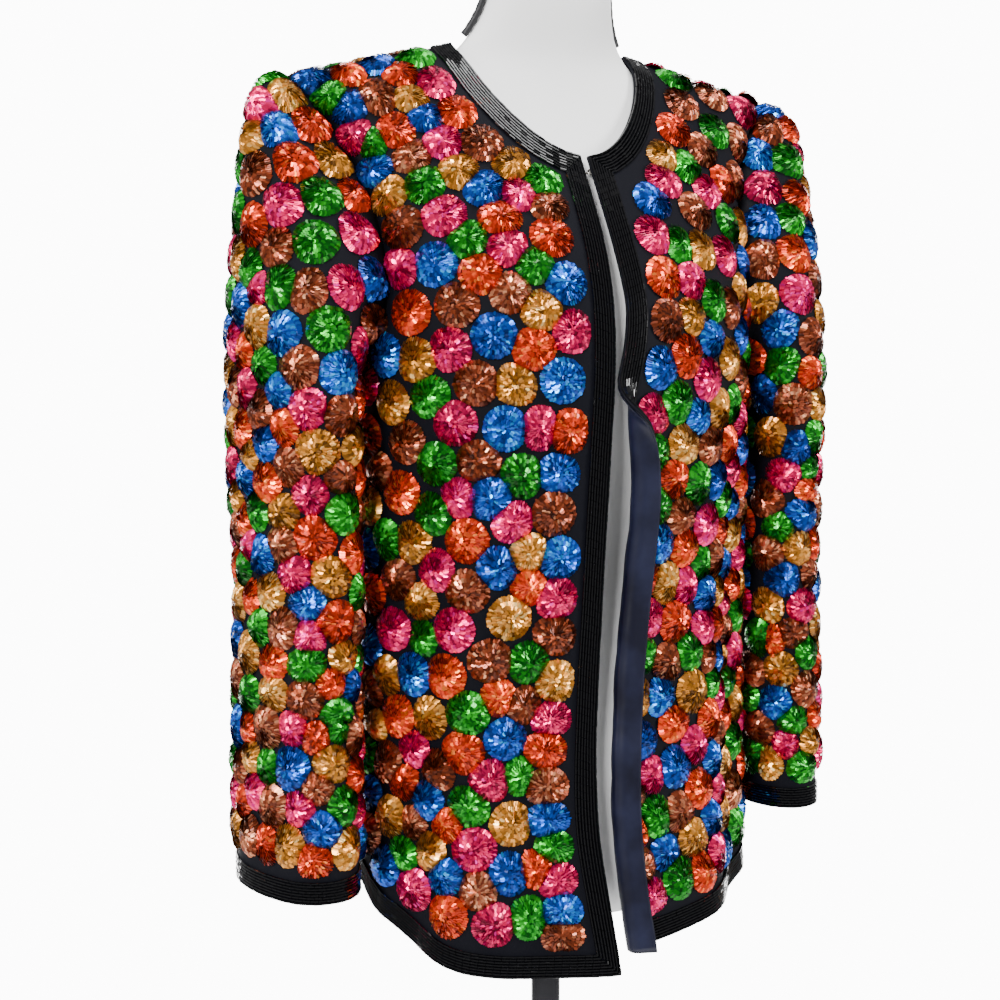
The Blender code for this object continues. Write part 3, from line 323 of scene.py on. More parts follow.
def sleeve_surface(name):
    """Flat points to one sleeve, x > 0; q runs up from the cuff."""
    read = columns_of(SLEEVES[name])
    arm_q = BICEP_Z - CUFF_Z[name]

    def ring(z, u):
        """Point on the hanging sleeve: inner side 0, front 0.25, outer side 0.5."""
        angle = np.interp(u * ring_arc[-1], ring_arc, ring_angles)
        across = -read["thick"](z) * np.cos(angle)
        forward = -read["deep"](z) * np.sin(angle)
        turn_x = across * math.cos(SLEEVE_TURN) + forward * math.sin(SLEEVE_TURN)
        turn_y = forward * math.cos(SLEEVE_TURN) - across * math.sin(SLEEVE_TURN)
        return np.stack([read["x"](z) + turn_x, read["y"](z) + turn_y, z], -1)

    def cap_curve(u):
        """Columns of the sleeve head, from the bicep ring up to the armhole."""
        low, high = ring(np.full(u.shape, BICEP_Z), u), armhole(u)
        span = np.linalg.norm(high - low, axis=-1, keepdims=True)
        up = np.zeros(low.shape)
        up[..., 2] = 1.0
        rounding = np.sin(math.pi * u) ** 2
        out = unit(np.stack([
            np.full(u.shape, 0.97), -0.12 * np.sin(2 * math.pi * u), -0.12 + 0.15 * rounding], -1))
        near_ring = low + up * span * (0.62 + 0.25 * rounding)[..., None]
        near_armhole = high + out * span * (0.20 - 0.060 * rounding)[..., None]
        return [low, near_ring, near_armhole, high]

    def top(u):
        """Flat height of the armhole edge."""
        return arm_q + along(cap_curve(np.asarray(u, float)), np.zeros(np.shape(u)))[1]

    def place(p, q):
        p, q = np.broadcast_arrays(np.asarray(p, float), np.asarray(q, float))
        u = np.mod(p / SLEEVE_ROUND, 1.0)
        hanging = ring(CUFF_Z[name] + np.minimum(q, arm_q), u)
        head, _ = along(cap_curve(u), np.maximum(q - arm_q, 0))
        return np.where((q > arm_q)[..., None], head, hanging)

    return place, top


sleeves = {name: sleeve_surface(name) for name in SLEEVES}


# Edges and hems on the flat

FRONT_EDGE = table("q right left", (    # right free edge and left roll line from the centre line
    (-0.030, 0.005, 0.010),
    (0.000, 0.008, 0.009),
    (0.050, 0.014, 0.004),
    (0.090, 0.018, 0.002),
    (0.200, 0.014, 0.006),
    (0.270, 0.0105, 0.0115),
    (0.350, 0.0095, 0.0160),
    (0.420, 0.0080, 0.0100),
    (0.470, 0.0060, 0.0080),
    (0.540, 0.0040, 0.0040),
    (0.640, 0.0035, 0.0025),
))
edge_right, edge_left = columns_of(FRONT_EDGE).values()

HEMS = {
    "front_right": table("p q", (
        (-0.050, -0.011), (0.020, -0.011), (0.110, -0.010), (0.150, -0.004), (0.185, 0.012),
        (0.250, 0.040))),
    "front_left": table("p q", (
        (-0.050, 0.003), (-0.020, 0.003), (0.010, 0.006), (0.090, 0.014), (0.160, 0.026),
        (0.250, 0.050))),
    "back": table("p q", (
        (-0.250, 0.040), (-0.120, 0.022), (0.000, 0.014), (0.120, 0.026), (0.250, 0.050))),
}


def flap_width(q):
    return FLAP_WIDTH * (1 - smoothstep(FLAP_FULL_Q, FLAP_START_Q, q))


NEAR = 0.0008               # how far apart the points are that give a normal


class Cloth:
    """One panel: its flat outline and the way from the flat to space."""

    def __init__(self, name, place, width, mirror, facing):
        self.name, self.place, self.width = name, place, width
        self.mirror, self.facing = mirror, facing * mirror
        self.turned = name == "front_left"

    def ground(self, p, q):
        found = self.place(p, q)
        found[..., 0] *= self.mirror
        return found

    def cross(self, where, p, q):
        along_p = where(p + NEAR, q) - where(p - NEAR, q)
        along_q = where(p, q + NEAR) - where(p, q - NEAR)
        return self.facing * unit(np.cross(along_p, along_q))

    def flat_face(self, p, q):
        rise = fold_height(self.name, p, q)
        if self.width is not None:
            rise = rise * smoothstep(*FOLD_FADE, self.width(q) - np.abs(p))
        return self.ground(p, q) + self.cross(self.ground, p, q) * rise[..., None]

    def face(self, p, q):
        """Outer face of the cloth, with folds and with the turned-back edge."""
        p, q = np.broadcast_arrays(np.asarray(p, float), np.asarray(q, float))
        if not self.turned:
            return self.flat_face(p, q)
        roll = edge_left(q)
        past = np.maximum(roll - p, 0.0)
        base = self.flat_face(np.maximum(p, roll), q)
        normal = self.cross(self.flat_face, np.maximum(p, roll) + 0.001, q)
        inward = across(self.flat_face(roll, q) - self.flat_face(roll + 0.002, q), normal)
        limit = FLAP_TURN * smoothstep(FLAP_LEAST, FLAP_WIDTH, flap_width(q)) + 1e-6
        turn = np.minimum(past / FLAP_RADIUS, limit)
        straight = np.maximum(past - FLAP_RADIUS * limit, 0.0)
        side = FLAP_RADIUS * np.sin(turn) + straight * np.cos(limit)
        rise = FLAP_RADIUS * (1 - np.cos(turn)) + straight * np.sin(limit)
        return base + inward * side[..., None] + normal * rise[..., None]

    def normal(self, p, q):
        return self.cross(self.face, np.asarray(p, float), np.asarray(q, float))


cloths = {name: Cloth(name, *rest) for name, rest in {
    "front_right": (front_place, front_width, -1, 1),
    "front_left": (front_place, front_width, 1, 1),
    "back": (back_place, back_width, 1, -1),
    "sleeve_right": (sleeves["sleeve_right"][0], None, -1, 1),
    "sleeve_left": (sleeves["sleeve_left"][0], None, 1, 1),
}.items()}


# Outlines on the flat

Trace = namedtuple("Trace", "flat runs seam_edges")


def trace(segments):
    """Join named runs of flat points into one closed outline, walked with the cloth on its left."""
    flat, runs, seam_edges = [], {}, []
    for name, is_seam, points in segments:
        first = len(flat)
        flat += [tuple(point) for point in points[:-1]]
        seam_edges += [is_seam] * (len(points) - 1)
        runs[name] = list(range(first, first + len(points)))
    runs = {name: [i % len(flat) for i in run] for name, run in runs.items()}
    return Trace(np.array(flat), runs, seam_edges)


def spread(start, stop, first_step=None):
    """Even values from start to stop, about SPACING apart, after an exact first step."""
    way = math.copysign(1.0, stop - start)
    head = [] if first_step is None else [start]
    begin = start if first_step is None else start + way * first_step
    count = max(int(round(abs(stop - begin) / SPACING)), 1)
    return np.array(head + list(np.linspace(begin, stop, count + 1)))


def column(first, second):
    first, second = np.broadcast_arrays(np.asarray(first, float), np.asarray(second, float))
    return np.stack([first, second], -1)


def hem_q(name):
    read, ends = spline(HEMS[name], "p", "q"), HEMS[name]["p"][[0, -1]]
    return lambda p: read(np.clip(p, *ends))


ARMHOLE_V = np.linspace(0, 1, 14)
CURL_STEPS = (1.40, 0.93, 0.47, 0.0)        # angles of the curl's columns, from the flap in


def curl_offsets(q):
    """Distances past the roll line at which the turned-back edge is given columns."""
    free_part = flap_width(q) - BAND_WIDTH
    return [float(step / (FLAP_WIDTH - BAND_WIDTH) * FLAP_RADIUS * free_part) for step in CURL_STEPS]


def free_edge(name, q):
    return edge_right(q) if name == "front_right" else edge_left(q) - flap_width(q)


def front_outline(name):
    hem = hem_q(name)
    corner_q = 0.0
    for _ in range(8):
        corner_q = float(hem(free_edge(name, corner_q)))
    corner_p = float(free_edge(name, corner_q))
    side_q = float(hem(0.250))
    side_p = float(front_width(side_q))
    if name == "front_left":
        roll = float(edge_left(corner_q))
        hem_p = [corner_p] + [roll - past for past in curl_offsets(corner_q)]
        hem_p = np.array(hem_p + list(spread(roll, side_p)[1:]))
    else:
        hem_p = spread(corner_p, side_p, SPACING)
    side = spread(side_q, UNDERARM_Q, BAND_WIDTH)
    corner = float(free_edge(name, TOP_Q - NECK_DROP)) / NECK_WIDTH
    angle = np.linspace(0, math.acos(corner ** (1 / NECK_POWER)), 8)
    neck = column(NECK_WIDTH * np.cos(angle) ** NECK_POWER,
                  TOP_Q - NECK_DROP * np.sin(angle) ** NECK_POWER)
    edge_q = spread(neck[-1, 1], corner_q)
    if name == "front_left":        # closer rows where the edge starts to turn back
        halfway = (edge_q[1:] + edge_q[:-1]) / 2
        turning = (halfway > FLAP_FULL_Q - 0.01) & (halfway < FLAP_START_Q)
        edge_q = np.sort(np.concatenate([edge_q, halfway[turning]]))[::-1]
    hem_rows = hem(hem_p)
    hem_rows[0], hem_rows[-1] = corner_q, side_q
    shoulder = spread(NECK_WIDTH, float(front_width(TOP_Q)), BAND_WIDTH)[::-1]
    edge = column(free_edge(name, edge_q), edge_q)
    edge[0], edge[-1] = neck[-1], (corner_p, corner_q)
    return trace([
        ("hem", False, column(hem_p, hem_rows)),
        ("side", True, column(front_width(side), side)),
        ("armhole", True, armhole_flat(front_width, TOP_Q, ARMHOLE_V)),
        ("shoulder", True, column(shoulder, TOP_Q)),
        ("neck", False, neck),
        ("edge", False, edge),
    ])


def back_outline():
    hem = hem_q("back")
    right_q, left_q = float(hem(-0.250)), float(hem(0.250))
    hem_p = spread(-float(back_width(right_q)), float(back_width(left_q)))
    hem_rows = hem(hem_p)
    hem_rows[0], hem_rows[-1] = right_q, left_q
    left, right = spread(left_q, UNDERARM_Q, BAND_WIDTH), spread(right_q, UNDERARM_Q, BAND_WIDTH)
    shoulder = spread(NECK_WIDTH, float(back_width(BACK_TOP_Q)), BAND_WIDTH)
    angle = np.linspace(0, math.pi, 10)
    neck = column(NECK_WIDTH * np.cos(angle), BACK_TOP_Q - BACK_NECK_DROP * np.sin(angle))
    arm = armhole_flat(back_width, BACK_TOP_Q, ARMHOLE_V)
    return trace([
        ("hem", False, column(hem_p, hem_rows)),
        ("side_left", True, column(back_width(left), left)),
        ("armhole_left", True, arm),
        ("shoulder_left", True, column(shoulder[::-1], BACK_TOP_Q)),
        ("neck", False, neck),
        ("shoulder_right", True, column(-shoulder, BACK_TOP_Q)),
        ("armhole_right", True, arm[::-1] * (-1, 1)),
        ("side_right", True, column(-back_width(right), right)[::-1]),
    ])


def sleeve_outline(name):
    u = np.concatenate([1 - ARMHOLE_V / 2, (ARMHOLE_V[::-1] / 2)[1:]])
    top = sleeves[name][1](u)
    side = spread(0.0, float(top[0]), BAND_WIDTH)
    side_back = side.copy()
    side_back[-1] = top[-1]
    cuff = np.linspace(0, SLEEVE_ROUND, 18)
    return trace([
        ("cuff", False, column(cuff, 0.0)),
        ("weld_far", False, column(SLEEVE_ROUND, side)),
        ("armhole", True, column(u * SLEEVE_ROUND, top)),
        ("weld_near", False, column(0.0, side_back[::-1])),
    ])


def inward(points, i, first, second):
    """Move of corner i that shifts the edge before it by first and the one after by second."""
    before = points[i] - points[i - 1]
    after = points[(i + 1) % len(points)] - points[i]
    rows = np.array([[-before[1], before[0]], [-after[1], after[0]]])
    rows /= np.linalg.norm(rows, axis=1, keepdims=True)
    return np.linalg.lstsq(rows, np.array([first, second]), rcond=0.05)[0]


# Packing of the domes

def inside(polygon, points):
    x, y = points[:, 0:1], points[:, 1:2]
    a, b = polygon, np.roll(polygon, -1, axis=0)
    crosses = (a[:, 1] > y) != (b[:, 1] > y)
    with np.errstate(divide="ignore", invalid="ignore"):
        at = a[:, 0] + (y - a[:, 1]) / (b[:, 1] - a[:, 1]) * (b[:, 0] - a[:, 0])
    return (crosses & (x < at)).sum(1) % 2 == 1


def offsets(points, a, b):
    """From each flat point to the nearest spot of each line piece a-b."""
    ab = b - a
    t = dot(points[:, None] - a, ab) / np.maximum(dot(ab, ab), 1e-12)
    return a + np.clip(t, 0, 1)[..., None] * ab - points[:, None]


def distance(points, a, b):
    """Distance of flat points to the nearest of the line pieces a-b."""
    return np.linalg.norm(offsets(points, a, b), axis=-1).min(1)


def free_pieces(outline):
    """Which pieces of an outline are free edges: not a seam, nor the weld of a sleeve."""
    free = ~np.array(outline.seam_edges)
    for name in ("weld_far", "weld_near"):
        if name in outline.runs:
            free[outline.runs[name][:-1]] = False
    return free


PACK_STEP = 0.0055          # grid on which the domes are packed
PACK_ROUNDS = 40
SIZE_SPREAD = (0.86, 1.15)
SEAM_CLEAR = 0.001          # from a seam to the first point of the grid


def dome_centres(cloth, outline, seed):
    """Flat centres of the domes: even cells of unequal size over the decorated area."""
    step = PACK_STEP
    low, high = outline.flat.min(0), outline.flat.max(0)
    grid = np.stack(np.meshgrid(
        np.arange(low[0] + step / 2, high[0], step),
        np.arange(low[1] + step / 2, high[1], step), indexing="ij"), -1).reshape(-1, 2)
    a, b = outline.flat, np.roll(outline.flat, -1, axis=0)
    free = free_pieces(outline)
    grid = grid[inside(outline.flat, grid)]
    keep = distance(grid, a[free], b[free]) > PLAIN_MARGIN
    keep &= distance(grid, a[~free], b[~free]) > SEAM_CLEAR
    if cloth.turned:
        keep &= grid[:, 0] > edge_left(grid[:, 1]) + SEAM_CLEAR
    grid = grid[keep]
    nudge = 0.001
    along_p = cloth.ground(grid[:, 0] + nudge, grid[:, 1]) - cloth.ground(*grid.T)
    along_q = cloth.ground(grid[:, 0], grid[:, 1] + nudge) - cloth.ground(*grid.T)
    weight = np.linalg.norm(np.cross(along_p, along_q), axis=1) / nudge ** 2
    count = int(round(weight.sum() * step ** 2 / DOME_AREA))
    squash = np.array([1.0, 1.0, TALLNESS])
    places = cloth.ground(*grid.T) * squash
    draw = random.Random(seed)
    centres = grid[draw.sample(range(len(grid)), count)]
    sizes = np.array([draw.uniform(*SIZE_SPREAD) for _ in range(count)])
    for _ in range(PACK_ROUNDS):
        spots = cloth.ground(*centres.T) * squash
        apart = (places ** 2).sum(1)[:, None] - 2 * places @ spots.T + (spots ** 2).sum(1)
        owner = (apart / sizes ** 2).argmin(1)
        total = np.maximum(np.bincount(owner, weight, count), 1e-9)
        centres = np.stack([
            np.bincount(owner, weight * grid[:, axis], count) / total for axis in (0, 1)], -1)
    return centres, sizes


outlines = {name: front_outline(name) for name in ("front_right", "front_left")}
outlines["back"] = back_outline()
outlines.update({name: sleeve_outline(name) for name in SLEEVES})


# Form

FORM = table("z half front back power", (
    (0.700, 0.137, 0.092, 0.088, 2.2),
    (0.712, 0.146, 0.100, 0.096, 2.2),
    (0.780, 0.150, 0.104, 0.099, 2.2),
    (0.880, 0.138, 0.093, 0.088, 2.2),
    (0.960, 0.124, 0.086, 0.080, 2.2),
    (1.040, 0.129, 0.094, 0.083, 2.2),
    (1.130, 0.146, 0.110, 0.092, 2.2),
    (1.200, 0.153, 0.098, 0.096, 2.2),
    (1.255, 0.154, 0.080, 0.090, 2.1),
    (1.300, 0.142, 0.062, 0.075, 1.9),
    (1.328, 0.122, 0.051, 0.060, 1.8),
    (1.350, 0.100, 0.045, 0.051, 1.7),
    (1.366, 0.0812, 0.0425, 0.046, 1.65),
    (1.382, 0.066, 0.043, 0.044, 1.75),
    (1.400, 0.056, 0.044, 0.044, 1.9),
    (1.425, 0.050, 0.045, 0.045, 2.0),
    (1.462, 0.048, 0.045, 0.045, 2.0),
    (1.470, 0.043, 0.040, 0.040, 2.0),
))
form_read = columns_of(FORM)


FORM_LEANS, FORM_RIGHTS = (1.175, 1.320), (1.362, 1.425)    # heights


def form_back(z):
    """How far the form leans back with the jacket, below its upright neck."""
    return SET_BACK * smoothstep(*FORM_LEANS, z) * (1 - smoothstep(*FORM_RIGHTS, z))


PIPING_RADIUS = 0.0029


# Ground cloth, drawn finer than the CAD

FINE_STEP = 0.0045          # longest outline step of a panel's cloth
GRID_STEP = 0.0085          # spacing of the points inside a panel's cloth
COLUMN_STEP = 0.0016        # spacing round the curl of the turned-back edge
CURL_HEM_STEP = 0.0018      # longest step of the hem that curls with it
CURL_INSIDE = 0.005         # from the roll line, inside the panel: the even points stop here,
CURL_FROM = 0.003           # the curl's columns begin here
CURL_END = 0.001            # and they end this far from the free edge
RIM_CLEAR = 0.0035          # from the outline to the first point inside
CURL_RIM_CLEAR = 0.0009


def resampled(points, longest):
    """Smooth curve through flat points, cut into steps no longer than this."""
    if len(points) < 3:
        slopes = np.repeat(np.diff(points, axis=0), 2, axis=0)
    else:
        slopes = np.gradient(points, axis=0)
    found = []
    for i in range(len(points) - 1):
        count = max(int(math.ceil(np.linalg.norm(points[i + 1] - points[i]) / longest)), 1)
        t = (np.arange(count) / count)[:, None]
        found.append(hermite(t, points[i], points[i + 1], slopes[i], slopes[i + 1]))
    return np.concatenate(found + [points[-1:]])


def fine_outline(name):
    """A panel's outline in short steps."""
    outline = outlines[name]
    parts = []
    for run, indices in outline.runs.items():
        longest = CURL_HEM_STEP if name == "front_left" and run == "hem" else FINE_STEP
        parts.append(resampled(outline.flat[indices], longest)[:-1])
    return np.concatenate(parts)


def grid_points(name, edge_line):
    """Even points inside a panel, with close columns round the turned-back edge."""
    low, high = edge_line.min(0), edge_line.max(0)
    rows = np.arange(low[1] + GRID_STEP / 2, high[1], GRID_STEP * 0.87)
    found = []
    for number, q in enumerate(rows):
        p = np.arange(low[0] + GRID_STEP / 2 * (1 + number % 2), high[0], GRID_STEP)
        if name == "front_left":
            roll = float(edge_left(q))
            p = p[p > roll + CURL_INSIDE]
            past = np.arange(-CURL_FROM, flap_width(q) - CURL_END, COLUMN_STEP)
            p = np.concatenate([p, roll - past])
        found.append(column(p, q))
    found = np.concatenate(found)
    found = found[inside(edge_line, found)]
    a, b = edge_line, np.roll(edge_line, -1, axis=0)
    away = np.concatenate([distance(part, a, b) for part in np.array_split(found, 8)])
    return found[away > (CURL_RIM_CLEAR if name == "front_left" else RIM_CLEAR)]


def mesh_object(name, points, faces, finishes, face_finish=None, smooth=False):
    mesh = bpy.data.meshes.new(name)
    mesh.from_pydata(np.asarray(points, float).tolist(), [], [tuple(face) for face in faces])
    made = bpy.data.objects.new(name, mesh)
    bpy.context.collection.objects.link(made)
    for finish in finishes:
        mesh.materials.append(finish)
    if face_finish is not None:
        mesh.polygons.foreach_set("material_index", np.asarray(face_finish, np.int32))
    mesh.polygons.foreach_set("use_smooth", np.full(len(mesh.polygons), smooth))
    mesh.update()
    return made


def attach(piece, replaced):
    """Say what a piece rides on, which CAD node it replaces."""
    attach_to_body(piece, "root")
    if replaced:
        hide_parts(replaced)


def tube_quads(rows, sides):
    """Faces of a tube, from its rings of points."""
    i, j = np.meshgrid(np.arange(rows - 1) * sides, np.arange(sides), indexing="ij")
    k = (j + 1) % sides
    return np.stack([i + j, i + k, i + k + sides, i + j + sides], -1).reshape(-1, 4).tolist()


def cloth_panel(name):
    """A panel's cloth: outer face, lining face and rim."""
    cloth, edge_line = cloths[name], fine_outline(name)
    flat = np.concatenate([edge_line, grid_points(name, edge_line)])
    count = len(edge_line)
    edges = [(i, (i + 1) % count) for i in range(count)]
    corners, _, tris = delaunay_2d_cdt([Vector(p) for p in flat], edges, [], 0, 1e-7, False)[:3]
    flat, tris = np.array([tuple(corner) for corner in corners]), np.array(tris)
    tris = tris[inside(edge_line, flat[tris].mean(1))]
    outer = cloth.face(*flat.T)
    inner = outer - cloth.normal(*flat.T) * CLOTH
    size, rim = len(flat), np.array(edges)
    if cloth.facing < 0:
        tris, rim = tris[:, ::-1], rim[:, ::-1]
    sides = np.concatenate([
        np.stack([rim[:, 0], rim[:, 0] + size, rim[:, 1] + size], -1),
        np.stack([rim[:, 0], rim[:, 1] + size, rim[:, 1]], -1)])
    faces = np.concatenate([tris, tris[:, ::-1] + size, sides])
    finish = np.concatenate([np.zeros(len(tris)), np.ones(len(tris)), np.zeros(len(sides))])
    made = mesh_object("cloth_" + name, np.concatenate([outer, inner]), faces,
                       [GROUND, LINING], finish, True)
    area = float(abs(np.cross(edge_line, np.roll(edge_line, -1, axis=0)).sum()) / 2)
    return made, area, edge_line.max(0) - edge_line.min(0)


# Sequin domes

# Each colour: its deep tone, and the lit tone that the sequins' painted highlights run to.
COLOURS = {
    "pink": ((0.98, 0.001, 0.13), (1.0, 0.02, 0.38)),
    "orange": ((0.85, 0.040, 0.002), (1.0, 0.22, 0.03)),
    "gold": ((0.72, 0.26, 0.022), (1.0, 0.66, 0.22)),
    "bronze": ((0.30, 0.050, 0.014), (0.85, 0.36, 0.18)),
    "green": ((0.002, 0.24, 0.004), (0.06, 0.85, 0.06)),
    "blue": ((0.001, 0.075, 0.52), (0.03, 0.42, 1.0)),
}
DIRECTIONS = 24
GAP = 0.00035               # half the ground left between two domes
MOST_REACH = 0.0172
MEAN_REACH = 0.0132         # mean reach of a dome that is as high as RISE
PITCH = 0.0017              # spacing of the stacked sequins round a ring
SEQUIN_LONG = 0.0034
SEQUIN_WIDE = 0.0025
RINGS = (0.91, 0.71, 0.52, 0.33, 0.13)
RISE = 0.0050
BAND_CLEAR = 0.0035         # from a band to the widest reach of a dome
LEAST_REACH = 0.006
PATCH_REACH = 0.018         # half width of the patch of cloth measured under a dome
PATCH_POINTS = 5


def dome_frames(name, centres):
    """Place, tangents and normal of each dome, and the cloth's places and normals round it."""
    cloth, step = cloths[name], 0.003
    p, q = centres.T
    place, out = cloth.face(p, q), cloth.normal(p, q)
    if cloth.width is None:
        q = np.minimum(q, sleeves[name][1](np.mod(p / SLEEVE_ROUND, 1.0)) - step)
    along_p = (cloth.face(p + step, q) - cloth.face(p - step, q)) / (2 * step)
    along_q = (cloth.face(p, q + step) - cloth.face(p, q - step)) / (2 * step)
    along_u = across(along_p, out)
    along_v = np.cross(out, along_u)
    along_v *= np.sign(dot(along_q, along_v))[:, None]
    jacobian = np.stack([column(dot(along_p, way), dot(along_q, way)) for way in (along_u, along_v)], -2)
    span = np.linspace(-PATCH_REACH, PATCH_REACH, PATCH_POINTS)
    local = np.stack(np.meshgrid(span, span, indexing="ij"), -1).reshape(-1, 2)
    flat = centres[:, None] + np.einsum("nij,kj->nki", np.linalg.inv(jacobian), local)
    shape = (len(centres), PATCH_POINTS, PATCH_POINTS, 3)
    places = cloth.face(flat[..., 0].ravel(), flat[..., 1].ravel()).reshape(shape)
    outs = cloth.normal(flat[..., 0].ravel(), flat[..., 1].ravel()).reshape(shape)
    return place, along_u, along_v, out, places, outs


def edge_limit(name, centres):
    """Direction and distance from each dome to the plain margin of its panel."""
    outline = outlines[name]
    a, b = outline.flat, np.roll(outline.flat, -1, axis=0)
    free = free_pieces(outline)
    near = offsets(centres, a[free], b[free])
    far = np.linalg.norm(near, axis=-1)
    best, row = far.argmin(1), np.arange(len(centres))
    return unit(near[row, best]), far[row, best] - BAND_WIDTH - BAND_CLEAR


NEAR_DOME, BESIDE = 0.045, 0.038        # domes that shape a dome, and that its colour avoids
FACING_ALIKE = 0.25         # least dot product of the normals of domes that meet
ASLANT = 0.05               # cosine below which a neighbour doesn't limit a direction
WAVES = (1.0, 0.9, 1.0, 0.7, 0.5, 0.3)  # share kept of each wave round the outline
FULLNESS = 1.03


def dome_shapes(place, along_u, along_v, out, sizes, margin_way, margin):
    """Reach of each dome in every direction, and its neighbours."""
    ways = column(np.cos(turns(DIRECTIONS)), np.sin(turns(DIRECTIONS)))
    shapes, neighbours = [], []
    for i in range(len(place)):
        offset = place - place[i]
        far = np.linalg.norm(offset, axis=1)
        near = np.nonzero((far < NEAR_DOME) & (far > 0) & (out @ out[i] > FACING_ALIKE))[0]
        flat = column(offset[near] @ along_u[i], offset[near] @ along_v[i])
        flat = unit(flat) * far[near][:, None]
        share = sizes[i] / (sizes[i] + sizes[near])
        reach = np.full(DIRECTIONS, MOST_REACH)
        for spot, part in zip(flat, share):
            toward = ways @ unit(spot)
            limit = np.linalg.norm(spot) * part / np.maximum(toward, ASLANT)
            reach = np.minimum(reach, limit)
        toward = ways @ margin_way[i]
        limit = max(margin[i], LEAST_REACH) / np.maximum(toward, ASLANT)
        reach = np.where(toward > ASLANT, np.minimum(reach, limit), reach)
        wave = np.fft.rfft(reach)
        keep = np.array(WAVES + (0.0,) * (len(wave) - len(WAVES)))
        oval = np.fft.irfft(wave * keep, DIRECTIONS)
        over = np.percentile(oval / reach, 55)
        shapes.append(np.clip(oval / over * FULLNESS - GAP, LEAST_REACH, MOST_REACH))
        neighbours.append(near[far[near] < BESIDE])
    return np.array(shapes), neighbours


def pick_colours(neighbours, draw):
    """Six colours in about equal shares, seldom the same beside each other."""
    picked = np.full(len(neighbours), -1)
    used = np.zeros(len(COLOURS))
    for i in draw.sample(range(len(neighbours)), len(neighbours)):
        beside = np.bincount(picked[neighbours[i]] + 1, minlength=len(COLOURS) + 1)[1:]
        score = beside * 3.0 + used / max(used.mean(), 1.0) + [draw.uniform(0, 1.6) for _ in COLOURS]
        picked[i] = int(score.argmin())
        used[picked[i]] += 1
    return picked


def lifted(u, v, height, places, outs):
    """Points over a patch of cloth, at local (u, v) and a height."""
    cells = PATCH_POINTS - 1
    x = np.clip((u / PATCH_REACH + 1) * cells / 2, 0, cells - 1e-6)
    y = np.clip((v / PATCH_REACH + 1) * cells / 2, 0, cells - 1e-6)
    i, j = x.astype(int), y.astype(int)
    x, y = (x - i)[:, None], (y - j)[:, None]

    def between(grid):
        low = grid[i, j] * (1 - y) + grid[i, j + 1] * y
        return low * (1 - x) + (grid[i + 1, j] * (1 - y) + grid[i + 1, j + 1] * y) * x
    return between(places) + unit(between(outs)) * height[:, None]


HEXAGON = np.array([(-0.5, -0.25), (0.0, -0.5), (0.5, -0.25), (0.5, 0.25), (0.0, 0.5), (-0.5, 0.25)])
HEXAGON_FACES = np.array([(0, 1, 2), (0, 2, 3), (0, 3, 5), (3, 4, 5)])


def profile(part, peak):
    return peak * np.clip(1 - np.clip(part, 0, 1) ** 2.3, 0, 1) ** 0.62


CORE_SIDES = 16             # padded core under the sequins
CORE_RINGS = (0.38, 0.68, 0.88, 0.97)
# The core is painted in its colour's shade: painted shade in the gaps between the sequins.
CORE_SHARE, CORE_RIM, CORE_PAINTED_SHADE = 0.86, -0.0004, 0.35
SEQUIN_LIFT, LOWEST = 0.0005, -0.0002
LEAN, LEAN_SPREAD = 0.42, 0.17          # slope of a sequin across its ring
SLOPE_SPREAD = 0.16
# Painted glints: this share of the sequins is painted half again as bright.
PAINTED_GLINTS = 0.10               # share of the sequins that are brightest


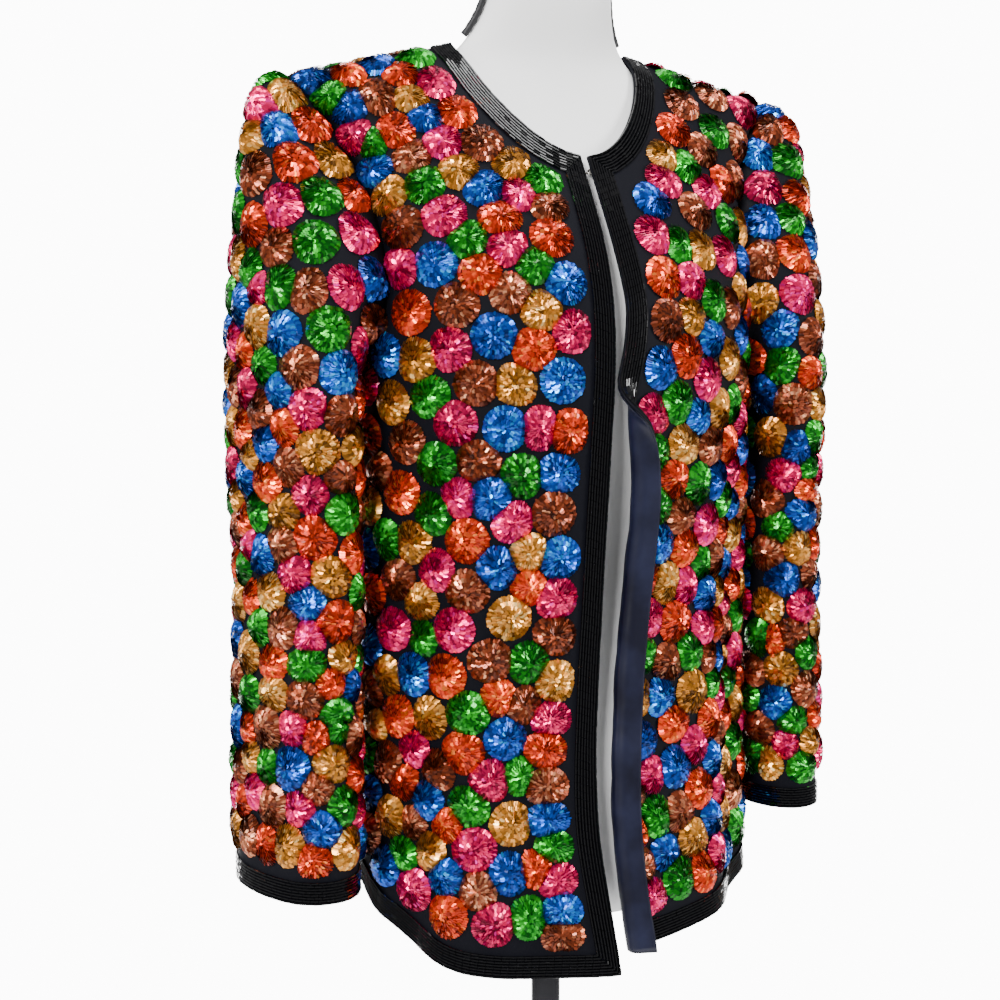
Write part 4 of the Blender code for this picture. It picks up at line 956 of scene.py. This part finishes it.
def dome_mesh(shape, places, outs, draw, tall):
    """Points, faces and painted light of one dome: a padded core in painted shade, with rings of sequins."""
    directions = np.arange(DIRECTIONS + 1) * 2 * math.pi / DIRECTIONS
    closed = np.append(shape, shape[0])

    def reach(angle):
        return np.interp(np.mod(angle, 2 * math.pi), directions, closed)

    angle = np.tile(turns(CORE_SIDES), len(CORE_RINGS))
    part = np.repeat(CORE_RINGS, CORE_SIDES)
    far = reach(angle) * part
    u, v = np.append(0.0, far * np.cos(angle)), np.append(0.0, far * np.sin(angle))
    height = profile(np.append(0.0, part), tall) * CORE_SHARE
    height[-CORE_SIDES:] = CORE_RIM
    points = [lifted(u, v, height, places, outs)]
    faces = [(0, 1 + i, 1 + (i + 1) % CORE_SIDES) for i in range(CORE_SIDES)]
    for row in range(1, (len(CORE_RINGS) - 1) * CORE_SIDES, CORE_SIDES):
        for i in range(CORE_SIDES):
            a, b = row + i, row + (i + 1) % CORE_SIDES
            faces += [(a, a + CORE_SIDES, b + CORE_SIDES), (a, b + CORE_SIDES, b)]
    # The core's faces get the painted shade.
    painted_light = [CORE_PAINTED_SHADE] * len(faces)
    base = len(u)
    turn = 1 if draw.random() < 0.5 else -1
    start = draw.uniform(0, 6.28)
    for ring in RINGS:
        mean = float(shape.mean()) * ring
        count = max(int(round(2 * math.pi * mean / PITCH)), 5)
        long = SEQUIN_LONG if ring > 0.3 else SEQUIN_LONG * 0.85
        noise = np.random.default_rng(draw.randrange(1 << 30))
        angle = start + np.arange(count) * 2 * math.pi / count + noise.normal(0, 0.10, count) / count
        far = reach(angle) * ring
        tangent = HEXAGON[:, 1][None] * SEQUIN_WIDE * noise.uniform(0.85, 1.15, (count, 1))
        radial = HEXAGON[:, 0][None] * long * noise.uniform(0.9, 1.1, (count, 1))
        radial = radial + noise.normal(0, 0.00025, (count, 1))
        x = far[:, None] + radial
        ca, sa = np.cos(angle)[:, None], np.sin(angle)[:, None]
        u = x * ca - tangent * sa
        v = x * sa + tangent * ca
        span = reach(angle)[:, None]
        inner, middle, outer = (profile((far[:, None] + way * long) / span, tall) for way in (-0.3, 0, 0.3))
        slope = (outer - inner) / (0.6 * long) * 0.9 + noise.normal(0, SLOPE_SPREAD, (count, 1))
        tilt = turn * (LEAN + noise.normal(0, LEAN_SPREAD, (count, 1)))
        height = np.maximum(middle + SEQUIN_LIFT + radial * slope + tangent * tilt, LOWEST)
        points.append(lifted(u.ravel(), v.ravel(), height.ravel(), places, outs))
        first = base + np.arange(count)[:, None, None] * 6
        faces += (first + HEXAGON_FACES).reshape(-1, 3).tolist()
        # Painted light: each sequin is painted brighter or darker at random, and a share of them brightest
        # as painted glints.
        painted_glitter = noise.uniform(0.55, 1.25, count) * np.where(noise.random(count) < PAINTED_GLINTS, 1.5, 1.0)
        painted_light += list(np.repeat(painted_glitter, 4))
        base += count * 6
        start += draw.uniform(0, 1)
    return np.concatenate(points), np.array(faces), np.array(painted_light)


def build_domes():
    """All sequin domes, one piece per colour."""
    found = []
    for seed, name in enumerate(cloths, 11):
        centres, sizes = dome_centres(cloths[name], outlines[name], seed)
        found.append((*dome_frames(name, centres), *edge_limit(name, centres), sizes))
    place, along_u, along_v, out, places, outs, ways, margins, sizes = (
        np.concatenate(group) for group in zip(*found))
    shapes, neighbours = dome_shapes(place, along_u, along_v, out, sizes, ways, margins)
    draw = random.Random(5)
    picked = pick_colours(neighbours, draw)
    for number, colour in enumerate(COLOURS):
        points, faces, painted_lights, base = [], [], [], 0
        for i in np.nonzero(picked == number)[0]:
            tall = RISE * min(float(shapes[i].mean()) / MEAN_REACH, 1.12)
            spots, tris, painted_light = dome_mesh(shapes[i], places[i], outs[i], draw, tall)
            if np.linalg.det(np.stack([along_u[i], along_v[i], out[i]])) < 0:
                tris = tris[:, ::-1]
            points.append(spots)
            faces.append(tris + base)
            painted_lights.append(painted_light * draw.uniform(0.8, 1.15))
            base += len(spots)
        piece = mesh_object("sequins_" + colour, np.concatenate(points), np.concatenate(faces),
                            [sequin_finish(colour)])
        # Each face's painted light and shade, kept as a face attribute.
        layer = piece.data.attributes.new("painted_light", "FLOAT", "FACE")
        layer.data.foreach_set("value", np.concatenate(painted_lights).astype(np.float32))
        attach(piece, None)


# Bugle bead bands

BEAD_ROWS = 8
BEAD_LONG = 0.0058
BEAD_RADIUS = 0.00098
BEAD_LIFT = 0.0009
LEAST_BEAD = 0.0018         # a shorter one at the end of a row is left out
BEAD_JITTER = 0.0003        # how far an end of a bead stands up or down
ROW_STEP, LEAST_STEP = 0.0015, 0.0008
SHARP = 0.75                # a row is cut where its turn's cosine is less
BEAD_SIDES = 6
BEAD_RING = turns(BEAD_SIDES)
BEAD_FACES = [corners for i, j in zip(range(6), (1, 2, 3, 4, 5, 0))
              for corners in ((i, j, 6 + j), (i, 6 + j, 6 + i))]
BEAD_FACES += [corners for i in range(1, 5) for corners in ((0, i + 1, i), (6, 6 + i, 7 + i))]


def band_paths(name):
    """Bands of a panel: outline points along the edge, and the seam points at both ends."""
    runs = outlines[name].runs
    if name.startswith("front"):
        return {"border_" + name: (
            runs["neck"] + runs["edge"][1:] + runs["hem"][1:], runs["shoulder"][-2], runs["side"][1])}
    if name == "back":
        return {
            "border_back_neck": (runs["neck"], runs["shoulder_left"][-2], runs["shoulder_right"][1]),
            "border_back_hem": (runs["hem"], runs["side_right"][-2], runs["side_left"][1]),
        }
    return {name.replace("sleeve", "border_cuff"): (
        runs["cuff"], runs["weld_near"][-2], runs["weld_far"][1])}


def row_line(name, path, first, last, inset):
    """Flat line of one row of beads, in short steps."""
    outline = outlines[name]
    share = inset / BAND_WIDTH
    line = [outline.flat[path[0]] * (1 - share) + outline.flat[first] * share]
    for i in path[1:-1]:
        line.append(outline.flat[i] + inward(outline.flat, i, inset, inset))
    line.append(outline.flat[path[-1]] * (1 - share) + outline.flat[last] * share)
    line = np.array(line)
    keep = [0]
    for i in range(1, len(line)):
        if np.linalg.norm(line[i] - line[keep[-1]]) > LEAST_STEP:
            keep.append(i)
    line = line[keep]
    ahead = unit(np.diff(line, axis=0))
    sharp = [0] + [i + 1 for i, same in enumerate(dot(ahead[1:], ahead[:-1])) if same < SHARP]
    sharp.append(len(line) - 1)
    return [resampled(line[a:b + 1], ROW_STEP) for a, b in zip(sharp[:-1], sharp[1:])]


def build_band(name, band, path, first, last, draw):
    cloth = cloths[name]
    points, faces = [], []
    for row in range(BEAD_ROWS):
        inset = (row + 0.5) * BAND_WIDTH / BEAD_ROWS
        for flat in row_line(name, path, first, last, inset):
            place, out = cloth.face(*flat.T), cloth.normal(*flat.T)
            place = place + out * BEAD_LIFT
            steps = np.linalg.norm(np.diff(place, axis=0), axis=1)
            reach = np.concatenate([[0], np.cumsum(steps)])

            def at_reach(spot, data):
                return np.array([np.interp(spot, reach, data[:, axis]) for axis in range(3)])
            at = -BEAD_LONG * (0.5 if row % 2 else 0.0) + draw.uniform(0, 0.0008)
            while at < reach[-1] - ROW_STEP:
                begin, end = max(at, 0.0), min(at + BEAD_LONG * 0.95, reach[-1])
                at += BEAD_LONG
                if end - begin < LEAST_BEAD:
                    continue
                up_a, up_b = at_reach(begin, out), at_reach(end, out)
                a = at_reach(begin, place) + up_a * draw.uniform(-BEAD_JITTER, BEAD_JITTER)
                b = at_reach(end, place) + up_b * draw.uniform(-BEAD_JITTER, BEAD_JITTER)
                ahead, up = unit(b - a), unit(up_a + up_b)
                up = across(up, ahead)
                beside = np.cross(ahead, up)
                radius = BEAD_RADIUS * draw.uniform(0.92, 1.04)
                ring = radius * (np.cos(BEAD_RING)[:, None] * beside + np.sin(BEAD_RING)[:, None] * up)
                faces.append(np.array(BEAD_FACES) + len(points) * BEAD_SIDES)
                points += [a + ring, b + ring]
    piece = mesh_object("beads_" + band, np.concatenate(points), np.concatenate(faces).tolist(), [BEADS])
    attach(piece, band)


# Satin facing

FACING_TOP_Q = 0.497
FACING_ROWS, FACING_INNER, FACING_OUTER = 90, 8, 22     # rows, and columns inside and past the roll
FACING_UNDER, FACING_WALL = 0.0006, 0.0004              # below the cloth, and thick
FACING_SHORT = 0.0006       # inside the free edge, and twice that inside the hem


def build_facing():
    """Satin facing behind the left front, as far as it shows round the turned-back edge."""
    cloth, hem = cloths["front_left"], hem_q("front_left")
    corner = outlines["front_left"].flat[outlines["front_left"].runs["edge"][-1]]
    rows = np.linspace(FACING_TOP_Q, float(corner[1]), FACING_ROWS)
    grid = []
    for q in rows:
        past = np.concatenate([np.linspace(-FACING_INSIDE, -0.002, FACING_INNER),
                               np.linspace(0, float(flap_width(q)) - FACING_SHORT, FACING_OUTER)])
        p = float(edge_left(q)) - past
        grid.append(column(p, np.maximum(q, hem(p) + 2 * FACING_SHORT)))
    flat = np.array(grid)
    high, wide = flat.shape[:2]
    p, q = flat[..., 0].ravel(), flat[..., 1].ravel()
    place, out = cloth.face(p, q), cloth.normal(p, q)
    sag = 0.0005 * np.sin(q * 95 + p * 60) + 0.0004 * np.sin(q * 41 - p * 130)
    near = place - out * (CLOTH + FACING_UNDER + np.abs(sag))[:, None]
    far = near - out * FACING_WALL
    size, number = high * wide, np.arange(high * wide).reshape(high, wide)
    a = number[:-1, :-1].ravel()
    quads = np.stack([a, a + 1, a + wide + 1, a + wide], -1)
    rim = np.concatenate([number[0], number[1:, -1], number[-1, -2::-1], number[-2:0:-1, 0]])
    after = np.roll(rim, -1)
    sides = np.stack([rim, after, after + size, rim + size], -1)[:, ::-1]
    faces = np.concatenate([quads, quads[:, ::-1] + size, sides])
    piece = mesh_object("satin_facing_left", np.concatenate([near, far]), faces, [SATIN], None, True)
    attach(piece, "facing_left")


# Form, and black piping that also stands in for the shade at the neck's edges

FORM_SIDES = 96
PIPING_SIDES, PIPING_ROWS = 16, 90
PIPING_TOP, PIPING_LOW = 1.4685, 1.3835
PIPING_LAY = 0.42           # turn of the cord's twist from one ring to the next


def form_point(z, angle):
    power = 2 / form_read["power"](z)
    x, y = np.cos(angle), np.sin(angle)
    depth = np.where(y > 0, form_read["back"](z), form_read["front"](z))
    return np.stack([
        form_read["half"](z) * np.sign(x) * np.abs(x) ** power,
        depth * np.sign(y) * np.abs(y) ** power + form_back(z), z + 0 * x], -1)


def build_form():
    levels = np.concatenate([np.linspace(0.7, 0.712, 5), np.linspace(0.725, 1.455, 88),
                             np.linspace(1.4595, 1.470, 7)])
    z, turn = np.meshgrid(levels, turns(FORM_SIDES), indexing="ij")
    points = form_point(z, turn).reshape(-1, 3)
    size, top = len(points), len(points) - FORM_SIDES
    points = np.concatenate([points, [[0, float(form_back(levels[0])), levels[0]], [0, 0, levels[-1]]]])
    caps = [(size, (n + 1) % FORM_SIDES, n) for n in range(FORM_SIDES)]
    caps += [(size + 1, top + n, top + (n + 1) % FORM_SIDES) for n in range(FORM_SIDES)]
    faces = tube_quads(len(levels), FORM_SIDES) + caps
    attach(mesh_object("linen_form", points, faces, [LINEN], None, True), "dress_form")


def build_piping(name, side):
    """Corded piping down the neck's side seam; its black also stands in for the shade along the neck's edge.
    """
    levels = np.linspace(PIPING_TOP, PIPING_LOW, PIPING_ROWS)
    half = np.array([float(form_read["half"](z)) for z in levels])
    slope = np.gradient(half, levels)
    out = unit(np.stack([np.ones_like(slope), -slope], -1))
    reach = PIPING_RADIUS + 0.0007
    path = np.stack([side * (half + out[:, 0] * reach), form_back(levels), levels + out[:, 1] * reach], -1)
    ahead = unit(np.gradient(path, axis=0))
    across = unit(np.cross(ahead, (0.0, 1.0, 0.0)))
    other = np.cross(ahead, across)
    angle = turns(PIPING_SIDES)
    run = np.arange(PIPING_ROWS)[:, None] * PIPING_LAY
    radius = PIPING_RADIUS * (0.88 + 0.14 * np.abs(np.sin(1.5 * angle[None] + run)))
    rings = (path[:, None] + radius[..., None] * (np.cos(angle)[None, :, None] * across[:, None]
             + np.sin(angle)[None, :, None] * other[:, None]))
    end = np.arange(PIPING_SIDES)
    faces = [end[::-1].tolist(), (end + (PIPING_ROWS - 1) * PIPING_SIDES).tolist()]
    faces += tube_quads(PIPING_ROWS, PIPING_SIDES)
    attach(mesh_object("cord_" + name, rings.reshape(-1, 3), faces, [PIPING_PAINTED_SHADE], None, True), name)


# Finishes

Finish = namedtuple("Finish", "material nodes links shader")


def finish_of(name, colour, roughness, metallic=0.0, specular=0.5):
    """Principled material with constants on its sockets."""
    made = bpy.data.materials.new(name)
    made.use_nodes = True
    shader = made.node_tree.nodes["Principled BSDF"]
    shader.inputs["Base Color"].default_value = (*colour, 1.0)
    shader.inputs["Roughness"].default_value = roughness
    shader.inputs["Metallic"].default_value = metallic
    shader.inputs["Specular IOR Level"].default_value = specular
    return Finish(made, made.node_tree.nodes, made.node_tree.links, shader)


def grain(finish, scale, strength, depth, detail=2.0):
    """Fine bumps from noise in object coordinates; returns the noise."""
    place, noise, bump = (finish.nodes.new("ShaderNode" + kind) for kind in ("TexCoord", "TexNoise", "Bump"))
    noise.inputs["Scale"].default_value = scale
    noise.inputs["Detail"].default_value = detail
    bump.inputs["Strength"].default_value = strength
    bump.inputs["Distance"].default_value = depth
    finish.links.new(place.outputs["Object"], noise.inputs["Vector"])
    finish.links.new(noise.outputs["Fac"], bump.inputs["Height"])
    finish.links.new(bump.outputs["Normal"], finish.shader.inputs["Normal"])
    return noise


def colour_ramp(finish, source, stops):
    """Base colour from a ramp of a value."""
    node = finish.nodes.new("ShaderNodeValToRGB")
    finish.links.new(source, node.inputs["Fac"])
    while len(node.color_ramp.elements) < len(stops):
        node.color_ramp.elements.new(0.5)
    for element, (at, colour) in zip(node.color_ramp.elements, stops):
        element.position = at
        element.color = (*colour, 1.0)
    finish.links.new(node.outputs["Color"], finish.shader.inputs["Base Color"])


def sequin_finish(colour):
    """Metallic sequins with painted light: each face's value runs its colour from a painted shade through
    the deep tone to the lit tone.
    """
    deep, light = COLOURS[colour]
    finish = finish_of("sequin_" + colour, deep, 0.30, 0.82)
    painted_light, scaled = finish.nodes.new("ShaderNodeAttribute"), finish.nodes.new("ShaderNodeMath")
    painted_light.attribute_name = "painted_light"
    scaled.operation = "MULTIPLY"
    scaled.inputs[1].default_value = PAINTED_LIGHT_SCALE
    finish.links.new(painted_light.outputs["Fac"], scaled.inputs[0])
    shade = tuple(0.18 * value for value in deep)
    colour_ramp(finish, scaled.outputs[0], [(0.0, shade), (0.30, shade), (0.62, deep), (1.0, light)])
    finish.shader.inputs["Coat Weight"].default_value = 0.20
    finish.shader.inputs["Coat Roughness"].default_value = 0.10
    return finish.material


PAINTED_LIGHT_SCALE = 0.60           # brings the brightest painted light to the ramp's end
ground = finish_of("ground_silk", (0.0012, 0.0014, 0.0040), 0.70, specular=0.12)
grain(ground, 900.0, 0.25, 0.0004)
lining = finish_of("lining_silk", (0.004, 0.0045, 0.013), 0.45)
grain(lining, 35.0, 0.2, 0.002)
beads = finish_of("bugle_beads", (0.0012, 0.0012, 0.0018), 0.12, specular=0.45)
satin = finish_of("satin_facing", (0.014, 0.015, 0.042), 0.34, specular=0.30)
sheen = grain(satin, 28.0, 0.30, 0.003, 3.0)
# Painted sheen: the satin's colour is lighter in blotches, from the same noise as its bumps.
colour_ramp(satin, sheen.outputs["Fac"], [(0.35, (0.0030, 0.0032, 0.011)), (0.70, (0.012, 0.014, 0.036))])
linen = finish_of("linen", (0.98, 0.98, 0.975), 0.9)
grain(linen, 1400.0, 0.35, 0.0003, 1.0)
# The piping's black is partly painted shade along the neck's edges.
piping = finish_of("piping", (0.010, 0.010, 0.012), 0.55)
GROUND, LINING, BEADS, SATIN, LINEN, PIPING_PAINTED_SHADE = (
    finish.material for finish in (ground, lining, beads, satin, linen, piping))


def repaint(node, colour, roughness, metallic):
    """A CAD node that stays, with a finish of its own."""
    finish = finish_of("finish_" + node, colour, roughness, metallic)
    grain(finish, 60.0, 0.04, 0.001)
    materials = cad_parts[node].data.materials
    if len(materials):
        materials[0] = finish.material
    else:
        materials.append(finish.material)


cloth_pieces = {name: cloth_panel(name) for name in cloths}
build_domes()
bead_draw = random.Random(8)
for name in cloths:
    for band, (path, first, last) in band_paths(name).items():
        build_band(name, band, path, first, last, bead_draw)
build_form()
build_piping("form_piping_right", -1)
build_piping("form_piping_left", 1)
for name, (piece, area, size) in cloth_pieces.items():
    attach(piece, name)
build_facing()
for node, finish in {
    "hook": ((0.30, 0.28, 0.25), 0.25, 1.0),
    "eye": ((0.30, 0.28, 0.25), 0.25, 1.0),
    "flange": ((0.10, 0.10, 0.105), 0.22, 1.0),
    "pole": ((0.055, 0.055, 0.06), 0.16, 1.0),
    "base": ((0.03, 0.03, 0.033), 0.40, 0.3),
}.items():
    repaint(node, *finish)


# Stage, lights and camera

FLOOR_RADIUS, FLOOR_SIDES = 1.45, 96     # small: the photo's camera looks past it to a white ground
FLOOR_Z = -0.001
rim = [(FLOOR_RADIUS * math.cos(turn), FLOOR_RADIUS * math.sin(turn), FLOOR_Z)
       for turn in turns(FLOOR_SIDES)]
floor_finish = finish_of("floor", (0.85, 0.85, 0.85), 0.9)
mesh_object("floor", rim, [tuple(range(FLOOR_SIDES))], [floor_finish.material])


def lamp(name, place, size, power):
    """Rectangular light aimed at the middle of the jacket."""
    light = bpy.data.lights.new(name, "AREA")
    light.shape = "RECTANGLE"
    light.size, light.size_y = size
    light.energy = power
    made = bpy.data.objects.new(name, light)
    bpy.context.collection.objects.link(made)
    made.location = place
    made.rotation_euler = (Vector(MIDDLE) - Vector(place)).to_track_quat("-Z", "Y").to_euler()


MIDDLE = (0.0, 0.0, 1.05)
lamp("key", (-1.9, -1.9, 2.3), (0.7, 0.9), 115.0)
lamp("fill", (1.9, -1.6, 1.6), (0.6, 1.2), 62.0)
lamp("side", (-2.4, 0.5, 1.4), (0.5, 1.3), 36.0)
lamp("top", (0.1, -0.4, 3.0), (1.0, 1.0), 36.0)
lamp("back", (0.8, 2.2, 2.2), (1.0, 1.0), 36.0)

# Photo's camera: swing round the stand, distance, height, and the points it looks at
SWING = math.radians(-26.5)
CAMERA_AWAY = 1.41
CAMERA_Z = 1.1525
LENS, SENSOR = 62.7, 36.0
HORIZON_PX, AXIS_PX, HALF_PX = 334.0, 547.0, 500.0
focal_px = LENS / SENSOR * 2 * HALF_PX
camera_data = bpy.data.cameras.new("camera")
camera_data.lens, camera_data.sensor_width = LENS, SENSOR
camera = bpy.data.objects.new("camera", camera_data)
bpy.context.collection.objects.link(camera)
camera.location = (math.sin(SWING) * CAMERA_AWAY, -math.cos(SWING) * CAMERA_AWAY, CAMERA_Z)
pitch = -math.atan((HALF_PX - HORIZON_PX) / focal_px)
heading = math.atan2(math.cos(SWING), -math.sin(SWING)) + math.atan((AXIS_PX - HALF_PX) / focal_px)
look = Vector((math.cos(heading) * math.cos(pitch), math.sin(heading) * math.cos(pitch), math.sin(pitch)))
camera.rotation_euler = look.to_track_quat("-Z", "Y").to_euler()
bpy.context.scene.camera = camera

# White ground: the world is bright round the photo's line of sight and dim elsewhere
WORLD_DIM, WORLD_BRIGHT = 0.42, 12.0
WINDOW_EDGE, WINDOW_FULL = 0.766, 0.905     # cosines from the line of sight
world = bpy.data.worlds.new("studio")
bpy.context.scene.world = world
world.use_nodes = True
nodes, links = world.node_tree.nodes, world.node_tree.links
coordinates = nodes.new("ShaderNodeTexCoord")
facing_it = nodes.new("ShaderNodeVectorMath")
facing_it.operation = "DOT_PRODUCT"
facing_it.inputs[1].default_value = tuple(look)
links.new(coordinates.outputs["Generated"], facing_it.inputs[0])
window = nodes.new("ShaderNodeMapRange")
window.interpolation_type = "SMOOTHSTEP"
for number, value in enumerate((WINDOW_EDGE, WINDOW_FULL, WORLD_DIM, WORLD_BRIGHT), 1):
    window.inputs[number].default_value = value
links.new(facing_it.outputs["Value"], window.inputs["Value"])
links.new(window.outputs["Result"], nodes["Background"].inputs["Strength"])
nodes["Background"].inputs["Color"].default_value = (1.0, 1.0, 1.0, 1.0)
